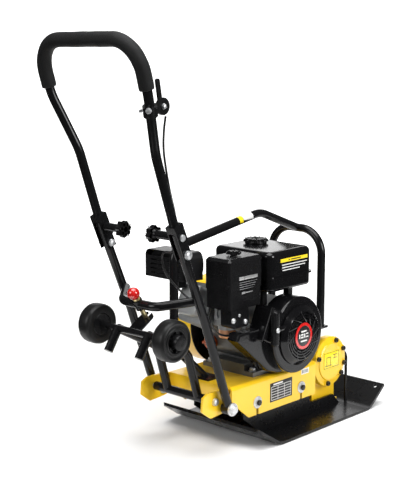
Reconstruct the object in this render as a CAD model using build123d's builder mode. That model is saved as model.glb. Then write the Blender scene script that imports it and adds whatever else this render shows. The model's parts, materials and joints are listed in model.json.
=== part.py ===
from build123d import *
from math import atan2, cos, degrees, hypot, radians, sin, tan
import os

# Forward plate compactor.  Millimetres, +X to the machine's right, +Y forwards, +Z up.
# The origin is the middle of the base plate's underside.

# ---- driving dimensions -------------------------------------------------------------------------

RUN_FIT = 0.05            # radial gap of a shaft turning in a hole
PART_GAP = 0.5            # gap between pieces that pass each other

# base plate and its ribs
plate_width = 350
plate_length = 548
plate_flat = 392
plate_thickness = 8
lip_rise = 50
lip_bend = 60
lip_taper = 7
lip_corner = 16
lip_hole_radius = 6
lip_hole_inset_x = 28
lip_hole_inset_y = 16
rib_thickness = 6
rib_outer_x = 86
rib_end_inset = 24
rib_rear_y = -236
rib_rear_z = 58
rib_top_z = 128
rib_low_z = 38
rib_step_y = 8
rib_corner_run = 12
rib_corner_drop = 30
rib_slope_run = 32
rib_toe_run = 30

# vibrating deck (console) on four rubber buffers
deck_half_width = 112
deck_sheet = 5
deck_top_z = 161
deck_front_y = 27
deck_rear_y = -310
deck_skirt_bottom_z = 71
deck_skirt_rear_y = -245
deck_skirt_rear_z = 128
deck_rear_wall_z = 122
buffer_radius = 19
buffer_z = 103
buffer_ys = (-212, -34)
buffer_bolt_radius = 4
washer_radius = 12
washer_thickness = 2
buffer_head_radius = 7.5
buffer_head_height = 6

# exciter
exciter_y = 112
exciter_z = 140
exciter_body_radius = 62
exciter_cavity_radius = 51
exciter_half_length = 85
exciter_cover_radius = 69
exciter_cover_thickness = 12
exciter_boss_radius = 40
exciter_bolt_circle = 60
exciter_bolt_angles = (71, 163, -13, -104, -41, 28)
exciter_bolt_radius = 6
exciter_bolt_height = 6
exciter_boss_height = 4
exciter_flange = 10
exciter_shaft_radius = 15
weight_radius = 47
weight_half_length = 54
bearing_radius = 31
bearing_width = 18
pedestal_half_width = 74
pedestal_half_length = 50
pedestal_foot = 12
pedestal_foot_reach = 14
pedestal_bolt_x = 50
pedestal_bolt_radius = 8
pedestal_bolt_height = 7

# engine
crank_y = -97
crank_z = 263
crankcase_left_x = -98
crankcase_right_x = 92
crankcase_wall = 10
crankcase_half_length = 84
crankcase_top_z = 338
engine_foot_height = 12
crankcase_lift = 28
crankcase_corner = 30
foot_left_x = -82
foot_right_x = 90
foot_rear_y = -205
foot_front_y = -15
plinth_left_x = -50
plinth_right_x = 60
web_rear_y = -167
web_front_y = -47
web_height = 62
foot_bolt_radius = 4
foot_washer_radius = 10
foot_washer_height = 2
foot_head_radius = 8
foot_head_height = 7
oil_port_x = -70
oil_port_z = 222
oil_port_radius = 13
oil_cap_radius = 18
oil_cap_depth = 14
oil_grip_length = 30
oil_grip_width = 6
oil_grip_depth = 10
crank_radius = 15
crank_web_radius = 40
crank_web_thickness = 12
pto_radius = 10
crank_shoulder = 6
crank_throw_half = 8
cylinder_x = -30
cylinder_tilt = 25
cylinder_bore_radius = 34
fin_width = 90
fin_height = 104
fin_thickness = 3
fin_pitch = 9
cylinder_base = 78
cylinder_top = 148
head_top = 212
rocker_cover_top = 244
liner_wall = 9
fin_corner = 12
fin_start = 16
head_inset = 14
rocker_inset = 26

# cooling shroud, flywheel and recoil starter
shroud_left_x = 95
shroud_right_x = 150
shroud_radius = 99
shroud_wall = 2.5
shroud_neck_width = 86
shroud_neck_reach = 130
shroud_neck_drop = 6
shroud_panel_x = 128
shroud_panel_corners = ((-225, 296), (-300, 296), (-308, 280), (-190, 182), (-150, 170), (-110, 165))
flywheel_radius = 84
flywheel_left_x = 101
flywheel_width = 34
flywheel_rim_width = 16
flywheel_hub_radius = 26
flywheel_blades = 14
blade_thickness = 3
recoil_radius = 77
recoil_face_radius = 64
recoil_depth = 16
recoil_slots = 12
recoil_seat = 8
recoil_shell = 3
slot_inner_radius = 30
slot_length = 22
slot_width = 6
rope_boss_radius = 6.5
rope_boss_length = 18
rope_room = 46
grip_y = -208
grip_z = 295
grip_x = 163
grip_low_z = 256
grip_height = 90
grip_thickness = 20
grip_corner = 8
grip_travel_length = 60
rope_radius = 2.5
rope_x = 158

# fuel tank
tank_left_x = -85
tank_right_x = 120
tank_rear_y = -175
tank_front_y = 6
tank_bottom_z = 376
tank_seam_z = 411
tank_top_z = 478
tank_wall = 4
tank_seam_height = 5
tank_seam_reach = 5
tank_corner = 22
mount_xs = (-55, 72)
mount_offset_y = 52
mount_half = 8.5
cap_x = -17
cap_y = -71
neck_radius = 24
cap_radius = 33
cap_height = 12
neck_height = 5
cap_lobes = 8
cap_scallop = 7
neck_wall = 3
tank_top_fillet = 14
tank_bottom_fillet = 8

# air cleaner and carburettor
cleaner_left_x = 20
cleaner_right_x = 105
cleaner_rear_y = -311
cleaner_front_y = -187
cleaner_bottom_z = 352
cleaner_seam_z = 400
cleaner_top_z = 478
cleaner_wall = 2.5
filter_room = 8
filter_floor = 30
filter_height = 84
filter_core_radius = 16
cleaner_corner = 10
cleaner_chamfer = 7
cleaner_inset = 2
elbow_bottom_z = 306
elbow_left_x = 70
elbow_rear_y = -305
elbow_front_y = -240
elbow_fillet = 12
elbow_bolts = ((-298, 327), (-254, 318))
elbow_bolt_radius = 7
elbow_bolt_height = 5
nut_radius = 7
nut_height = 8
nut_wing_reach = 23
nut_wing_top = 14
nut_wing_half = 2
carb_x = 44
carb_y = -252
carb_z = 318
bowl_radius = 21
bowl_height = 24
carb_half = 20
bowl_top_z = 290
bowl_flange = 10
choke_x = 28
choke_z = 320
choke_hub_radius = 6
choke_reach = 24
choke_width = 7
choke_sheet = 4

# muffler
muffler_left_x = -125
muffler_right_x = 8
muffler_rear_y = -366
muffler_front_y = -300
muffler_bottom_z = 424
muffler_top_z = 484
muffler_wall = 1.5
muffler_corner = 22
muffler_back_gap = 14
flange_left_x = -72
flange_right_x = -44
flange_rear_y = -336
flange_front_y = -308
flange_bottom_z = 392
outlet_y = -330
outlet_z = 455
outlet_radius = 12
outlet_wall = 2
outlet_length = 18
shield_gap = 5
shield_sheet = 1.5
shield_front = 8
shield_corner = 16
louvre_z = 447
louvre_pitch_x = 28
louvre_pitch_z = 11
louvre_length = 22
louvre_width = 4

# belt drive on the left side
belt_x = -137
belt_width = 13
belt_thickness = 10
clutch_belt_radius = 65
exciter_belt_radius = 45
pulley_rim = 1
pulley_width = 20
clutch_drum_radius = 62
clutch_right_x = -118
clutch_left_x = -156
guard_crank_radius = 120
guard_exciter_radius = 62
guard_right_x = -114
guard_left_x = -164
guard_sheet = 2
guard_hole_radius = 30
guard_post_circle = 50
guard_post_radius = 7
guard_post_angles = (30, 120, 210, 300)

# cage and lifting bar
tube_radius = 11
tube_wall = 2
hoop_y = 80
hoop_half_width = 85
hoop_top_z = 504
hoop_foot_z = 245
hoop_bend = 66
bar_peak_y = -75
bar_peak_z = 562
bar_rear_z = 508
rear_leg_y = -397
rear_leg_low_z = 262
rear_foot_y = -285
riser_sheet = 6
riser_y = 24
riser_reach = 14
riser_nose = 16
riser_toe = 12
bar_bends = (90, 40, 50)
bar_foot_half_width = 30
bar_foot_half_length = 22
bar_cut = 40

# lower handle
handle_half_width = 127
pivot_y = -338
pivot_z = 120
mid_y = -424
mid_z = 352
fold_y = -497
fold_z = 521
fold_bolt_radius = 4
tube_above_fold = 55
lower_bend = 400
boss_radius = 15
boss_reach = 3
slot_half = 6
slot_middle = 5
slot_depth = 20
brace_z = 390
brace_y = -515
brace_flat_half = 55
brace_end_rise = 12
brace_bend = 36
pivot_washer_radius = 16
pivot_washer_height = 4
pivot_cap_radius = 10
pivot_cap_height = 6
pivot_nut_radius = 9
fold_cap_radius = 10
fold_nut_radius = 8
fold_cap_height = 5.5

# latch on the brace
latch_pin_radius = 6
latch_sleeve_radius = 12
latch_sleeve_half = 13
latch_collar_height = 3
latch_collar_reach = 3
latch_pin_reach = 50
latch_ball_radius = 15
latch_ball_distance = 32
latch_tilt = (-0.53, 0.848)

# upper handle
bend_y = -581
bend_z = 750
flare_half_width = 160
grip_end_y = -634
grip_end_z = 881
top_y = -668
top_z = 1001
top_bend = 74
foam_radius = 16.5
fork_below = 12
fork_above = 76
fork_cheek = 3
fork_half_depth = 13
fork_back_start = 18
fork_plug_start = 59
flare_bend = 160
spacer_radius = 10
knob_neck = 6
knob_neck_radius = 11
screw_head_radius = 8
screw_head_height = 5
foam_end_back = 4
foam_end_rise = 14
knob_above_fold = 45
knob_inner_x = 41
knob_outer_x = 64
knob_core_radius = 15
knob_lobe_radius = 6
knob_lobes = 6

# transport carriage, stowed
carriage_y = -367
carriage_z = 139
carriage_half_width = 94
arm_x = 52
arm_bend_y = -404
arm_bend_z = 258
arm_bend = 45
axle_y = -534
axle_z = 326
axle_radius = 8
axle_half_length = 153
stub_length = 60
stub_angle = 237
wheel_radius = 49
wheel_inner_x = 106
wheel_outer_x = 145
hub_radius = 28
hub_cap_radius = 15
hub_cap_reach = 4
hub_rim = 3
hub_recess = 5
tyre_shoulder = 5
latch_plate_half = 18
latch_plate_sheet = 6

# rear brackets
bracket_outer_x = 107
bracket_sheet = 6
bracket_bolt_radius = 5
pin_reach = 20
bracket_corner = 4
bracket_outline = (
    (-252, 96), (-300, 110), (-330, 104), (-381, 100), (-411, 122),
    (-408, 156), (-390, 164), (-346, 164), (-318, 140), (-300, 146), (-252, 146),
)

# throttle control and its cable
cable_radius = 2.5
clamp_radius = 16
clamp_width = 24
clamp_drop = 22
pivot_forward = 36
pivot_drop = 2
pivot_arm = 30
pivot_arm_width = 16
pivot_plate_radius = 19
pivot_plate_thickness = 6
pivot_pin_radius = 3
pivot_head_radius = 6
pivot_head_height = 5
lever_hub_radius = 14
lever_length = 60
lever_width = 11
lever_thickness = 5
lever_angle = 100
arm_x_left = 84
arm_pivot_y = -226
arm_pivot_z = 304
arm_length = 32
arm_width = 8
arm_sheet = 3
arm_angle = 225
arm_boss_radius = 5
arm_boss_length = 4
cable_bend_share = 0.45

# plates and stickers, as their limits along Y and Z
sticker = 0.6
rating_plate = (-163, -73, 90, 140)
small_label = (-33, -4, 137, 150)
sign_half_width = 26
sign_half_height = 24
badge_radius = 34
badge_thickness = 1.5
cleaner_label = (-277, -208, 400, 432)
tank_label = (-130, -20, 424, 459)

# ---- shared geometry ----------------------------------------------------------------------------


def unit(y, z):
    """A direction in the side plane with length one."""
    length = hypot(y, z)
    return (y / length, z / length)


def side_plane(x):
    """Plane across the machine at x, whose sketch axes are Y and Z."""
    return Plane.YZ.offset(x)


def tube_along(points, bends, outer, inner=0, mode=Mode.ADD):
    """Sweep a round tube, or a bar, through points with one bend radius per corner."""
    with BuildLine() as route:
        if len(points) > 2:
            FilletPolyline(*points, radius=bends)
        else:
            Line(*points)
    start = Plane(origin=route.line @ 0, z_dir=route.line % 0)
    with BuildSketch(start) as section:
        Circle(outer)
        if inner:
            Circle(inner, mode=Mode.SUBTRACT)
    sweep(section.sketch, path=route.line, mode=mode)


def disc(x0, x1, radius, y, z, mode=Mode.ADD):
    """A round disc or bore between two x positions."""
    with BuildSketch(side_plane(x0)) as face:
        with Locations((y, z)):
            Circle(radius)
    extrude(face.sketch, amount=x1 - x0, mode=mode)


def block(x0, x1, y0, y1, z0, z1, mode=Mode.ADD):
    """A rectangular block between six limits."""
    with BuildSketch(Plane.XY.offset(z0)) as face:
        with Locations(((x0 + x1) / 2, (y0 + y1) / 2)):
            Rectangle(x1 - x0, y1 - y0)
    extrude(face.sketch, amount=z1 - z0, mode=mode)


def hex_head(x, direction, y, z, radius, height):
    """A hexagonal head standing out along X."""
    with BuildSketch(side_plane(x)) as face:
        with Locations((y, z)):
            RegularPolygon(radius, 6)
    extrude(face.sketch, amount=direction * height)


handle_dir = unit(fold_y - mid_y, fold_z - mid_z)


def fold_plane(side):
    """Sketch plane across a handle tube at the fold bolt: x is X, y is forwards, z is up the tube."""
    return Plane(
        origin=(side * handle_half_width, fold_y, fold_z),
        x_dir=(1, 0, 0),
        z_dir=(0, handle_dir[0], handle_dir[1]),
    )


def along_handle(distance, forward=0.0):
    """Y and Z of a point up the tube from the fold bolt."""
    return (
        fold_y + handle_dir[0] * distance + handle_dir[1] * forward,
        fold_z + handle_dir[1] * distance - handle_dir[0] * forward,
    )


knob_y, knob_z = along_handle(knob_above_fold)

# ---- base plate ---------------------------------------------------------------------------------

lip_run = (plate_length - plate_flat) / 2
lip_angle = degrees(atan2(lip_rise, lip_run))

with BuildPart() as base_plate:
    with BuildSketch(side_plane(-plate_width / 2)):
        with BuildLine():
            FilletPolyline(
                (-plate_length / 2, lip_rise),
                (-plate_flat / 2, 0),
                (plate_flat / 2, 0),
                (plate_length / 2, lip_rise),
                radius=lip_bend,
            )
            offset(amount=plate_thickness, side=Side.LEFT)
        make_face()
    extrude(amount=plate_width)
    with BuildSketch(Plane.XY.offset(-plate_thickness)):
        with BuildLine():
            Polyline(
                (plate_width / 2, -plate_flat / 2),
                (plate_width / 2, plate_flat / 2),
                (plate_width / 2 - lip_taper, plate_length / 2),
                (-plate_width / 2 + lip_taper, plate_length / 2),
                (-plate_width / 2, plate_flat / 2),
                (-plate_width / 2, -plate_flat / 2),
                (-plate_width / 2 + lip_taper, -plate_length / 2),
                (plate_width / 2 - lip_taper, -plate_length / 2),
                close=True,
            )
        outline = make_face()
        fillet(outline.vertices().group_by(Axis.Y)[0], lip_corner)
        fillet(outline.vertices().group_by(Axis.Y)[-1], lip_corner)
    extrude(amount=lip_rise + 3 * plate_thickness, mode=Mode.INTERSECT)
    lip_hole_y = plate_length / 2 - lip_hole_inset_y
    lip_hole_z = lip_rise - lip_hole_inset_y * lip_rise / lip_run + plate_thickness
    for side in (-1, 1):
        for end in (-1, 1):
            mouth = Plane(
                origin=(side * (plate_width / 2 - lip_hole_inset_x), end * lip_hole_y, lip_hole_z),
                z_dir=(0, -end * sin(radians(lip_angle)), cos(radians(lip_angle))),
            )
            with BuildSketch(mouth):
                Circle(lip_hole_radius)
            extrude(amount=2 * plate_thickness, both=True, mode=Mode.SUBTRACT)
base_plate.part.label = "base_plate"

with BuildPart() as plate_ribs:
    with BuildSketch(side_plane(rib_outer_x - rib_thickness)) as rib_face:
        with BuildLine():
            Polyline(
                (-plate_flat / 2 + rib_end_inset, plate_thickness),
                (rib_rear_y, rib_rear_z),
                (rib_rear_y, rib_top_z - rib_corner_drop),
                (rib_rear_y + rib_corner_run, rib_top_z),
                (rib_step_y, rib_top_z),
                (rib_step_y + rib_slope_run, rib_low_z),
                (plate_flat / 2 - rib_end_inset - rib_toe_run, rib_low_z),
                (plate_flat / 2 - rib_end_inset, plate_thickness),
                close=True,
            )
        make_face()
    extrude(amount=rib_thickness)
    mirror(about=Plane.YZ)
plate_ribs.part.label = "plate_ribs"

# ---- exciter ------------------------------------------------------------------------------------

cover_face_x = exciter_half_length + exciter_cover_thickness
boss_face_x = cover_face_x + exciter_boss_height

with BuildPart() as exciter_housing:
    disc(-exciter_half_length, exciter_half_length, exciter_body_radius, exciter_y, exciter_z)
    for side in (-1, 1):
        disc(side * exciter_half_length, side * (exciter_half_length - exciter_flange),
             exciter_cover_radius, exciter_y, exciter_z)
    block(-pedestal_half_width, pedestal_half_width, exciter_y - pedestal_half_length,
          exciter_y + pedestal_half_length, plate_thickness, exciter_z)
    block(-pedestal_half_width, pedestal_half_width,
          exciter_y - pedestal_half_length - pedestal_foot_reach,
          exciter_y + pedestal_half_length + pedestal_foot_reach,
          plate_thickness, plate_thickness + pedestal_foot)
    cavity_half = exciter_half_length - bearing_width
    disc(-cavity_half, cavity_half, exciter_cavity_radius, exciter_y, exciter_z, Mode.SUBTRACT)
    disc(-exciter_half_length, exciter_half_length, bearing_radius, exciter_y, exciter_z,
         Mode.SUBTRACT)
exciter_housing.part.label = "exciter_housing"

with BuildPart() as exciter_covers:
    for side in (-1, 1):
        disc(side * exciter_half_length, side * cover_face_x, exciter_cover_radius,
             exciter_y, exciter_z)
        disc(side * cover_face_x, side * boss_face_x, exciter_boss_radius,
             exciter_y, exciter_z)
    disc(-boss_face_x, -exciter_half_length, exciter_shaft_radius + 2 * PART_GAP,
         exciter_y, exciter_z, Mode.SUBTRACT)
exciter_covers.part.label = "exciter_covers"

with BuildPart() as exciter_bearings:
    for side in (-1, 1):
        disc(side * (exciter_half_length - bearing_width), side * exciter_half_length,
             bearing_radius, exciter_y, exciter_z)
    disc(-exciter_half_length, exciter_half_length, exciter_shaft_radius + RUN_FIT,
         exciter_y, exciter_z, Mode.SUBTRACT)
exciter_bearings.part.label = "exciter_bearings"

with BuildPart() as exciter_shaft:
    disc(clutch_left_x, exciter_half_length - PART_GAP, exciter_shaft_radius, exciter_y, exciter_z)
    with BuildSketch(side_plane(-weight_half_length)):
        with Locations((exciter_y, exciter_z)):
            Circle(weight_radius)
        with Locations((exciter_y, exciter_z + weight_radius / 2)):
            Rectangle(2 * weight_radius, weight_radius, mode=Mode.SUBTRACT)
    extrude(amount=2 * weight_half_length)
exciter_shaft.part.label = "exciter_shaft"


def pulley(belt_radius, y, z):
    """A pulley with one groove under the belt."""
    disc(belt_x - pulley_width / 2, belt_x + pulley_width / 2, belt_radius + pulley_rim, y, z)
    groove_half = belt_width / 2 + PART_GAP
    with BuildSketch(side_plane(belt_x - groove_half)) as groove:
        with Locations((y, z)):
            Circle(belt_radius + 2 * pulley_rim)
            Circle(belt_radius - belt_thickness - PART_GAP, mode=Mode.SUBTRACT)
    extrude(groove.sketch, amount=2 * groove_half, mode=Mode.SUBTRACT)


with BuildPart() as exciter_pulley:
    pulley(exciter_belt_radius, exciter_y, exciter_z)
    disc(clutch_left_x, clutch_right_x, exciter_shaft_radius, exciter_y, exciter_z, Mode.SUBTRACT)
exciter_pulley.part.label = "exciter_pulley"

# ---- deck on its rubber buffers -----------------------------------------------------------------

engine_bolts = [(x, y) for x in (-66, 76) for y in (-192, -30)]

with BuildPart() as deck:
    with BuildSketch(Plane.XZ.offset(-deck_front_y)):
        with BuildLine():
            FilletPolyline(
                (-deck_half_width, deck_skirt_bottom_z),
                (-deck_half_width, deck_top_z),
                (deck_half_width, deck_top_z),
                (deck_half_width, deck_skirt_bottom_z),
                radius=2 * deck_sheet,
            )
            offset(amount=deck_sheet, side=Side.RIGHT)
        make_face()
    extrude(amount=deck_front_y - deck_rear_y)
    wall_half_width = bracket_outer_x - bracket_sheet - PART_GAP
    block(-wall_half_width, wall_half_width, deck_rear_y,
          deck_rear_y + deck_sheet, deck_rear_wall_z, deck_top_z - deck_sheet)
    with BuildSketch(side_plane(-deck_half_width)):
        with BuildLine():
            Polyline(
                (deck_rear_y, deck_top_z),
                (deck_front_y, deck_top_z),
                (deck_front_y, deck_skirt_bottom_z),
                (deck_skirt_rear_y, deck_skirt_bottom_z),
                (deck_rear_y, deck_skirt_rear_z - deck_sheet),
                close=True,
            )
        make_face()
    extrude(amount=2 * deck_half_width, mode=Mode.INTERSECT)
    with BuildSketch(side_plane(-deck_half_width)):
        for y in buffer_ys:
            with Locations((y, buffer_z)):
                Circle(buffer_bolt_radius + PART_GAP)
            with Locations((y, (buffer_z + deck_skirt_bottom_z) / 2)):
                Rectangle(2 * buffer_bolt_radius, buffer_z - deck_skirt_bottom_z)
    extrude(amount=2 * deck_half_width, mode=Mode.SUBTRACT)
    with BuildSketch(Plane.XY.offset(deck_top_z)):
        with Locations(*engine_bolts):
            Circle(foot_bolt_radius)
    extrude(amount=-deck_sheet, mode=Mode.SUBTRACT)
deck.part.label = "deck"

with BuildPart() as rubber_buffers:
    for y in buffer_ys:
        disc(rib_outer_x, deck_half_width - deck_sheet, buffer_radius, y, buffer_z)
    mirror(about=Plane.YZ)
rubber_buffers.part.label = "rubber_buffers"

with BuildPart() as deck_bolts:
    for y in buffer_ys:
        disc(deck_half_width - deck_sheet, deck_half_width, buffer_bolt_radius, y, buffer_z)
        disc(deck_half_width, deck_half_width + washer_thickness, washer_radius, y, buffer_z)
        hex_head(deck_half_width + washer_thickness, 1, y, buffer_z, buffer_head_radius,
                 buffer_head_height)
    for angle in exciter_bolt_angles:
        hex_head(cover_face_x, 1, exciter_y + exciter_bolt_circle * cos(radians(angle)),
                 exciter_z + exciter_bolt_circle * sin(radians(angle)),
                 exciter_bolt_radius, exciter_bolt_height)
    mirror(about=Plane.YZ)
    foot_y = pedestal_half_length + pedestal_foot_reach / 2
    with BuildSketch(Plane.XY.offset(plate_thickness + pedestal_foot)):
        for x in (-pedestal_bolt_x, pedestal_bolt_x):
            for y in (exciter_y - foot_y, exciter_y + foot_y):
                with Locations((x, y)):
                    RegularPolygon(pedestal_bolt_radius, 6)
    extrude(amount=pedestal_bolt_height)
deck_bolts.part.label = "deck_bolts"

# ---- engine: crankcase, cylinder and head -------------------------------------------------------

crankcase_bottom_z = deck_top_z + crankcase_lift

with BuildPart() as crankcase:
    with BuildSketch(side_plane(crankcase_left_x)) as case_face:
        with Locations((crank_y, (crankcase_bottom_z + crankcase_top_z) / 2)):
            RectangleRounded(2 * crankcase_half_length, crankcase_top_z - crankcase_bottom_z,
                             crankcase_corner)
    extrude(amount=crankcase_right_x - crankcase_left_x)
    block(foot_left_x, foot_right_x, foot_rear_y, foot_front_y,
          deck_top_z, deck_top_z + engine_foot_height)
    block(plinth_left_x, plinth_right_x, foot_rear_y, foot_front_y, deck_top_z, crankcase_bottom_z)
    block(foot_left_x, foot_right_x, web_rear_y, web_front_y, deck_top_z, deck_top_z + web_height)
    with BuildSketch(side_plane(crankcase_left_x + crankcase_wall)):
        with Locations((crank_y, (crankcase_bottom_z + crankcase_top_z) / 2)):
            RectangleRounded(2 * (crankcase_half_length - crankcase_wall),
                             crankcase_top_z - crankcase_bottom_z - 2 * crankcase_wall,
                             crankcase_corner - crankcase_wall)
    extrude(amount=crankcase_right_x - crankcase_left_x - 2 * crankcase_wall, mode=Mode.SUBTRACT)
    disc(crankcase_left_x, crankcase_right_x, crank_radius + RUN_FIT, crank_y, crank_z,
         Mode.SUBTRACT)
    with BuildSketch(Plane.XY.offset(deck_top_z)):
        with Locations(*engine_bolts):
            Circle(foot_bolt_radius)
    extrude(amount=engine_foot_height, mode=Mode.SUBTRACT)
    oil_port_y = crank_y - crankcase_half_length
    with BuildSketch(Plane.XZ.offset(-oil_port_y)):
        with Locations((oil_port_x, oil_port_z)):
            Circle(oil_port_radius)
    extrude(amount=-crankcase_wall - 1, mode=Mode.SUBTRACT)
crankcase.part.label = "crankcase"

tilt = radians(cylinder_tilt)


def cylinder_plane(distance):
    """Plane across the tilted cylinder: x is X, y is up the fins, z is out towards the head."""
    return Plane(
        origin=(cylinder_x, crank_y - cos(tilt) * distance, crank_z + sin(tilt) * distance),
        x_dir=(-1, 0, 0),
        z_dir=(0, -cos(tilt), sin(tilt)),
    )


with BuildPart() as cylinder:
    with BuildSketch(cylinder_plane(cylinder_base)):
        Circle(cylinder_bore_radius + liner_wall)
        Circle(cylinder_bore_radius, mode=Mode.SUBTRACT)
    extrude(amount=cylinder_top - cylinder_base)
    fin = cylinder_base + fin_start
    while fin < cylinder_top - fin_thickness:
        with BuildSketch(cylinder_plane(fin)):
            RectangleRounded(fin_width, fin_height, fin_corner)
            Circle(cylinder_bore_radius + liner_wall - 1, mode=Mode.SUBTRACT)
        extrude(amount=fin_thickness)
        fin += fin_pitch
    block(crankcase_left_x, crankcase_right_x, crank_y - crankcase_half_length, 0, deck_top_z,
          crankcase_top_z, Mode.SUBTRACT)
cylinder.part.label = "cylinder"

with BuildPart() as cylinder_head:
    with BuildSketch(cylinder_plane(cylinder_top)):
        RectangleRounded(fin_width - head_inset, fin_height - head_inset, fin_corner)
    extrude(amount=head_top - cylinder_top)
    fin = cylinder_top + 4
    while fin < head_top - fin_thickness:
        with BuildSketch(cylinder_plane(fin)):
            RectangleRounded(fin_width, fin_height, fin_corner)
        extrude(amount=fin_thickness)
        fin += fin_pitch
    with BuildSketch(cylinder_plane(head_top)):
        RectangleRounded(fin_width - rocker_inset, fin_height - rocker_inset, fin_corner)
    extrude(amount=rocker_cover_top - head_top)
    outward = Axis((0, 0, 0), (0, -cos(tilt), sin(tilt)))
    fillet(cylinder_head.faces().sort_by(outward)[-1].edges(), fin_corner / 2)
cylinder_head.part.label = "cylinder_head"

with BuildPart() as crankshaft:
    journal_left_x = crankcase_left_x - crank_shoulder
    disc(journal_left_x, shroud_left_x, crank_radius, crank_y, crank_z)
    disc(clutch_left_x, journal_left_x, pto_radius, crank_y, crank_z)
    disc(shroud_left_x, flywheel_left_x + flywheel_width + crank_shoulder, pto_radius,
         crank_y, crank_z)
    for x in (cylinder_x - crank_throw_half - crank_web_thickness, cylinder_x + crank_throw_half):
        disc(x, x + crank_web_thickness, crank_web_radius, crank_y, crank_z)
crankshaft.part.label = "crankshaft"

with BuildPart() as oil_cap:
    with BuildSketch(Plane.XZ.offset(-oil_port_y - crankcase_wall)):
        with Locations((oil_port_x, oil_port_z)):
            Circle(oil_port_radius - RUN_FIT)
    extrude(amount=crankcase_wall + 2 * PART_GAP)
    with BuildSketch(Plane.XZ.offset(-oil_port_y + PART_GAP)):
        with Locations((oil_port_x, oil_port_z)):
            Circle(oil_cap_radius)
    extrude(amount=oil_cap_depth)
    with BuildSketch(Plane.XZ.offset(-oil_port_y + PART_GAP + oil_cap_depth)):
        with Locations((oil_port_x, oil_port_z)):
            Rectangle(oil_grip_length, oil_grip_width)
    extrude(amount=oil_grip_depth)
oil_cap.part.label = "oil_cap"

with BuildPart() as engine_bolt_set:
    with BuildSketch(Plane.XY.offset(deck_top_z - deck_sheet)):
        with Locations(*engine_bolts):
            Circle(foot_bolt_radius)
    extrude(amount=deck_sheet + engine_foot_height)
    with BuildSketch(Plane.XY.offset(deck_top_z + engine_foot_height)):
        with Locations(*engine_bolts):
            Circle(foot_washer_radius)
    extrude(amount=foot_washer_height)
    with BuildSketch(Plane.XY.offset(deck_top_z + engine_foot_height + foot_washer_height)):
        with Locations(*engine_bolts):
            RegularPolygon(foot_head_radius, 6)
    extrude(amount=foot_head_height)
    for y, z in elbow_bolts:
        hex_head(cleaner_right_x, 1, y, z, elbow_bolt_radius, elbow_bolt_height)
engine_bolt_set.part.label = "engine_bolts"

# ---- engine: shroud, flywheel and recoil starter ------------------------------------------------


def shroud_outline(inset):
    """Round fan housing with a neck that leads the air to the cylinder."""
    with Locations((crank_y, crank_z)):
        Circle(shroud_radius - inset)
    with Locations(Location((crank_y, crank_z, 0), (0, 0, 180 - cylinder_tilt))):
        with Locations((shroud_neck_reach / 2, shroud_neck_drop)):
            Rectangle(shroud_neck_reach - 2 * inset, shroud_neck_width - 2 * inset)


with BuildPart() as fan_shroud:
    with BuildSketch(side_plane(shroud_left_x)):
        with BuildLine():
            Polyline((crank_y, crank_z), *shroud_panel_corners, close=True)
        make_face()
    extrude(amount=shroud_panel_x - shroud_left_x)
    fillet(fan_shroud.faces().sort_by(Axis.X)[-1].edges(), 2 * shroud_wall)
    with BuildSketch(side_plane(shroud_left_x)):
        shroud_outline(0)
    extrude(amount=shroud_right_x - shroud_left_x)
    fillet(fan_shroud.faces().sort_by(Axis.X)[-1].edges(), 2 * shroud_wall)
    with BuildSketch(side_plane(shroud_left_x)):
        shroud_outline(shroud_wall)
    extrude(amount=shroud_right_x - shroud_left_x - shroud_wall, mode=Mode.SUBTRACT)
    with BuildSketch(side_plane(shroud_left_x)):
        with BuildLine():
            Polyline((crank_y, crank_z), *shroud_panel_corners, close=True)
        make_face()
        offset(amount=-shroud_wall, kind=Kind.INTERSECTION)
    extrude(amount=shroud_panel_x - shroud_left_x - shroud_wall, mode=Mode.SUBTRACT)
    disc(shroud_left_x, shroud_right_x, recoil_radius - recoil_seat, crank_y, crank_z,
         Mode.SUBTRACT)
fan_shroud.part.label = "fan_shroud"

with BuildPart() as flywheel:
    disc(flywheel_left_x, flywheel_left_x + flywheel_rim_width, flywheel_radius, crank_y, crank_z)
    blade_ring = (flywheel_radius + flywheel_hub_radius) / 2
    with BuildSketch(side_plane(flywheel_left_x + flywheel_rim_width)):
        with Locations((crank_y, crank_z)):
            with PolarLocations(blade_ring, flywheel_blades):
                Rectangle(flywheel_radius - flywheel_hub_radius - 4, blade_thickness)
    extrude(amount=flywheel_width - flywheel_rim_width)
    disc(flywheel_left_x, flywheel_left_x + flywheel_width, flywheel_hub_radius, crank_y, crank_z)
    disc(flywheel_left_x, flywheel_left_x + flywheel_width, pto_radius, crank_y, crank_z,
         Mode.SUBTRACT)
flywheel.part.label = "flywheel"

recoil_face_x = shroud_right_x + recoil_depth

with BuildPart() as recoil_cover:
    disc(shroud_right_x, recoil_face_x, recoil_radius, crank_y, crank_z)
    chamfer(recoil_cover.edges().group_by(Axis.X)[-1], recoil_radius - recoil_face_radius)
    disc(shroud_right_x, recoil_face_x - recoil_shell, recoil_face_radius - recoil_shell, crank_y,
         crank_z, Mode.SUBTRACT)
    slot_ring = (recoil_face_radius + slot_inner_radius) / 2
    with BuildSketch(side_plane(recoil_face_x)):
        with Locations((crank_y, crank_z)):
            with PolarLocations(slot_ring + 2, recoil_slots):
                SlotOverall(slot_length, slot_width)
    extrude(amount=-recoil_shell, mode=Mode.SUBTRACT)
    rope_y = crank_y - recoil_radius
    with BuildSketch(Plane.XZ.offset(-rope_y - recoil_seat)):
        with Locations((rope_x, grip_z)):
            Circle(rope_boss_radius)
    extrude(amount=rope_boss_length)
    with BuildSketch(Plane.XZ.offset(rope_boss_length - recoil_seat - rope_y - rope_room)):
        with Locations((rope_x, grip_z)):
            Circle(rope_radius + RUN_FIT)
    extrude(amount=rope_room, mode=Mode.SUBTRACT)
recoil_cover.part.label = "recoil_cover"

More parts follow.
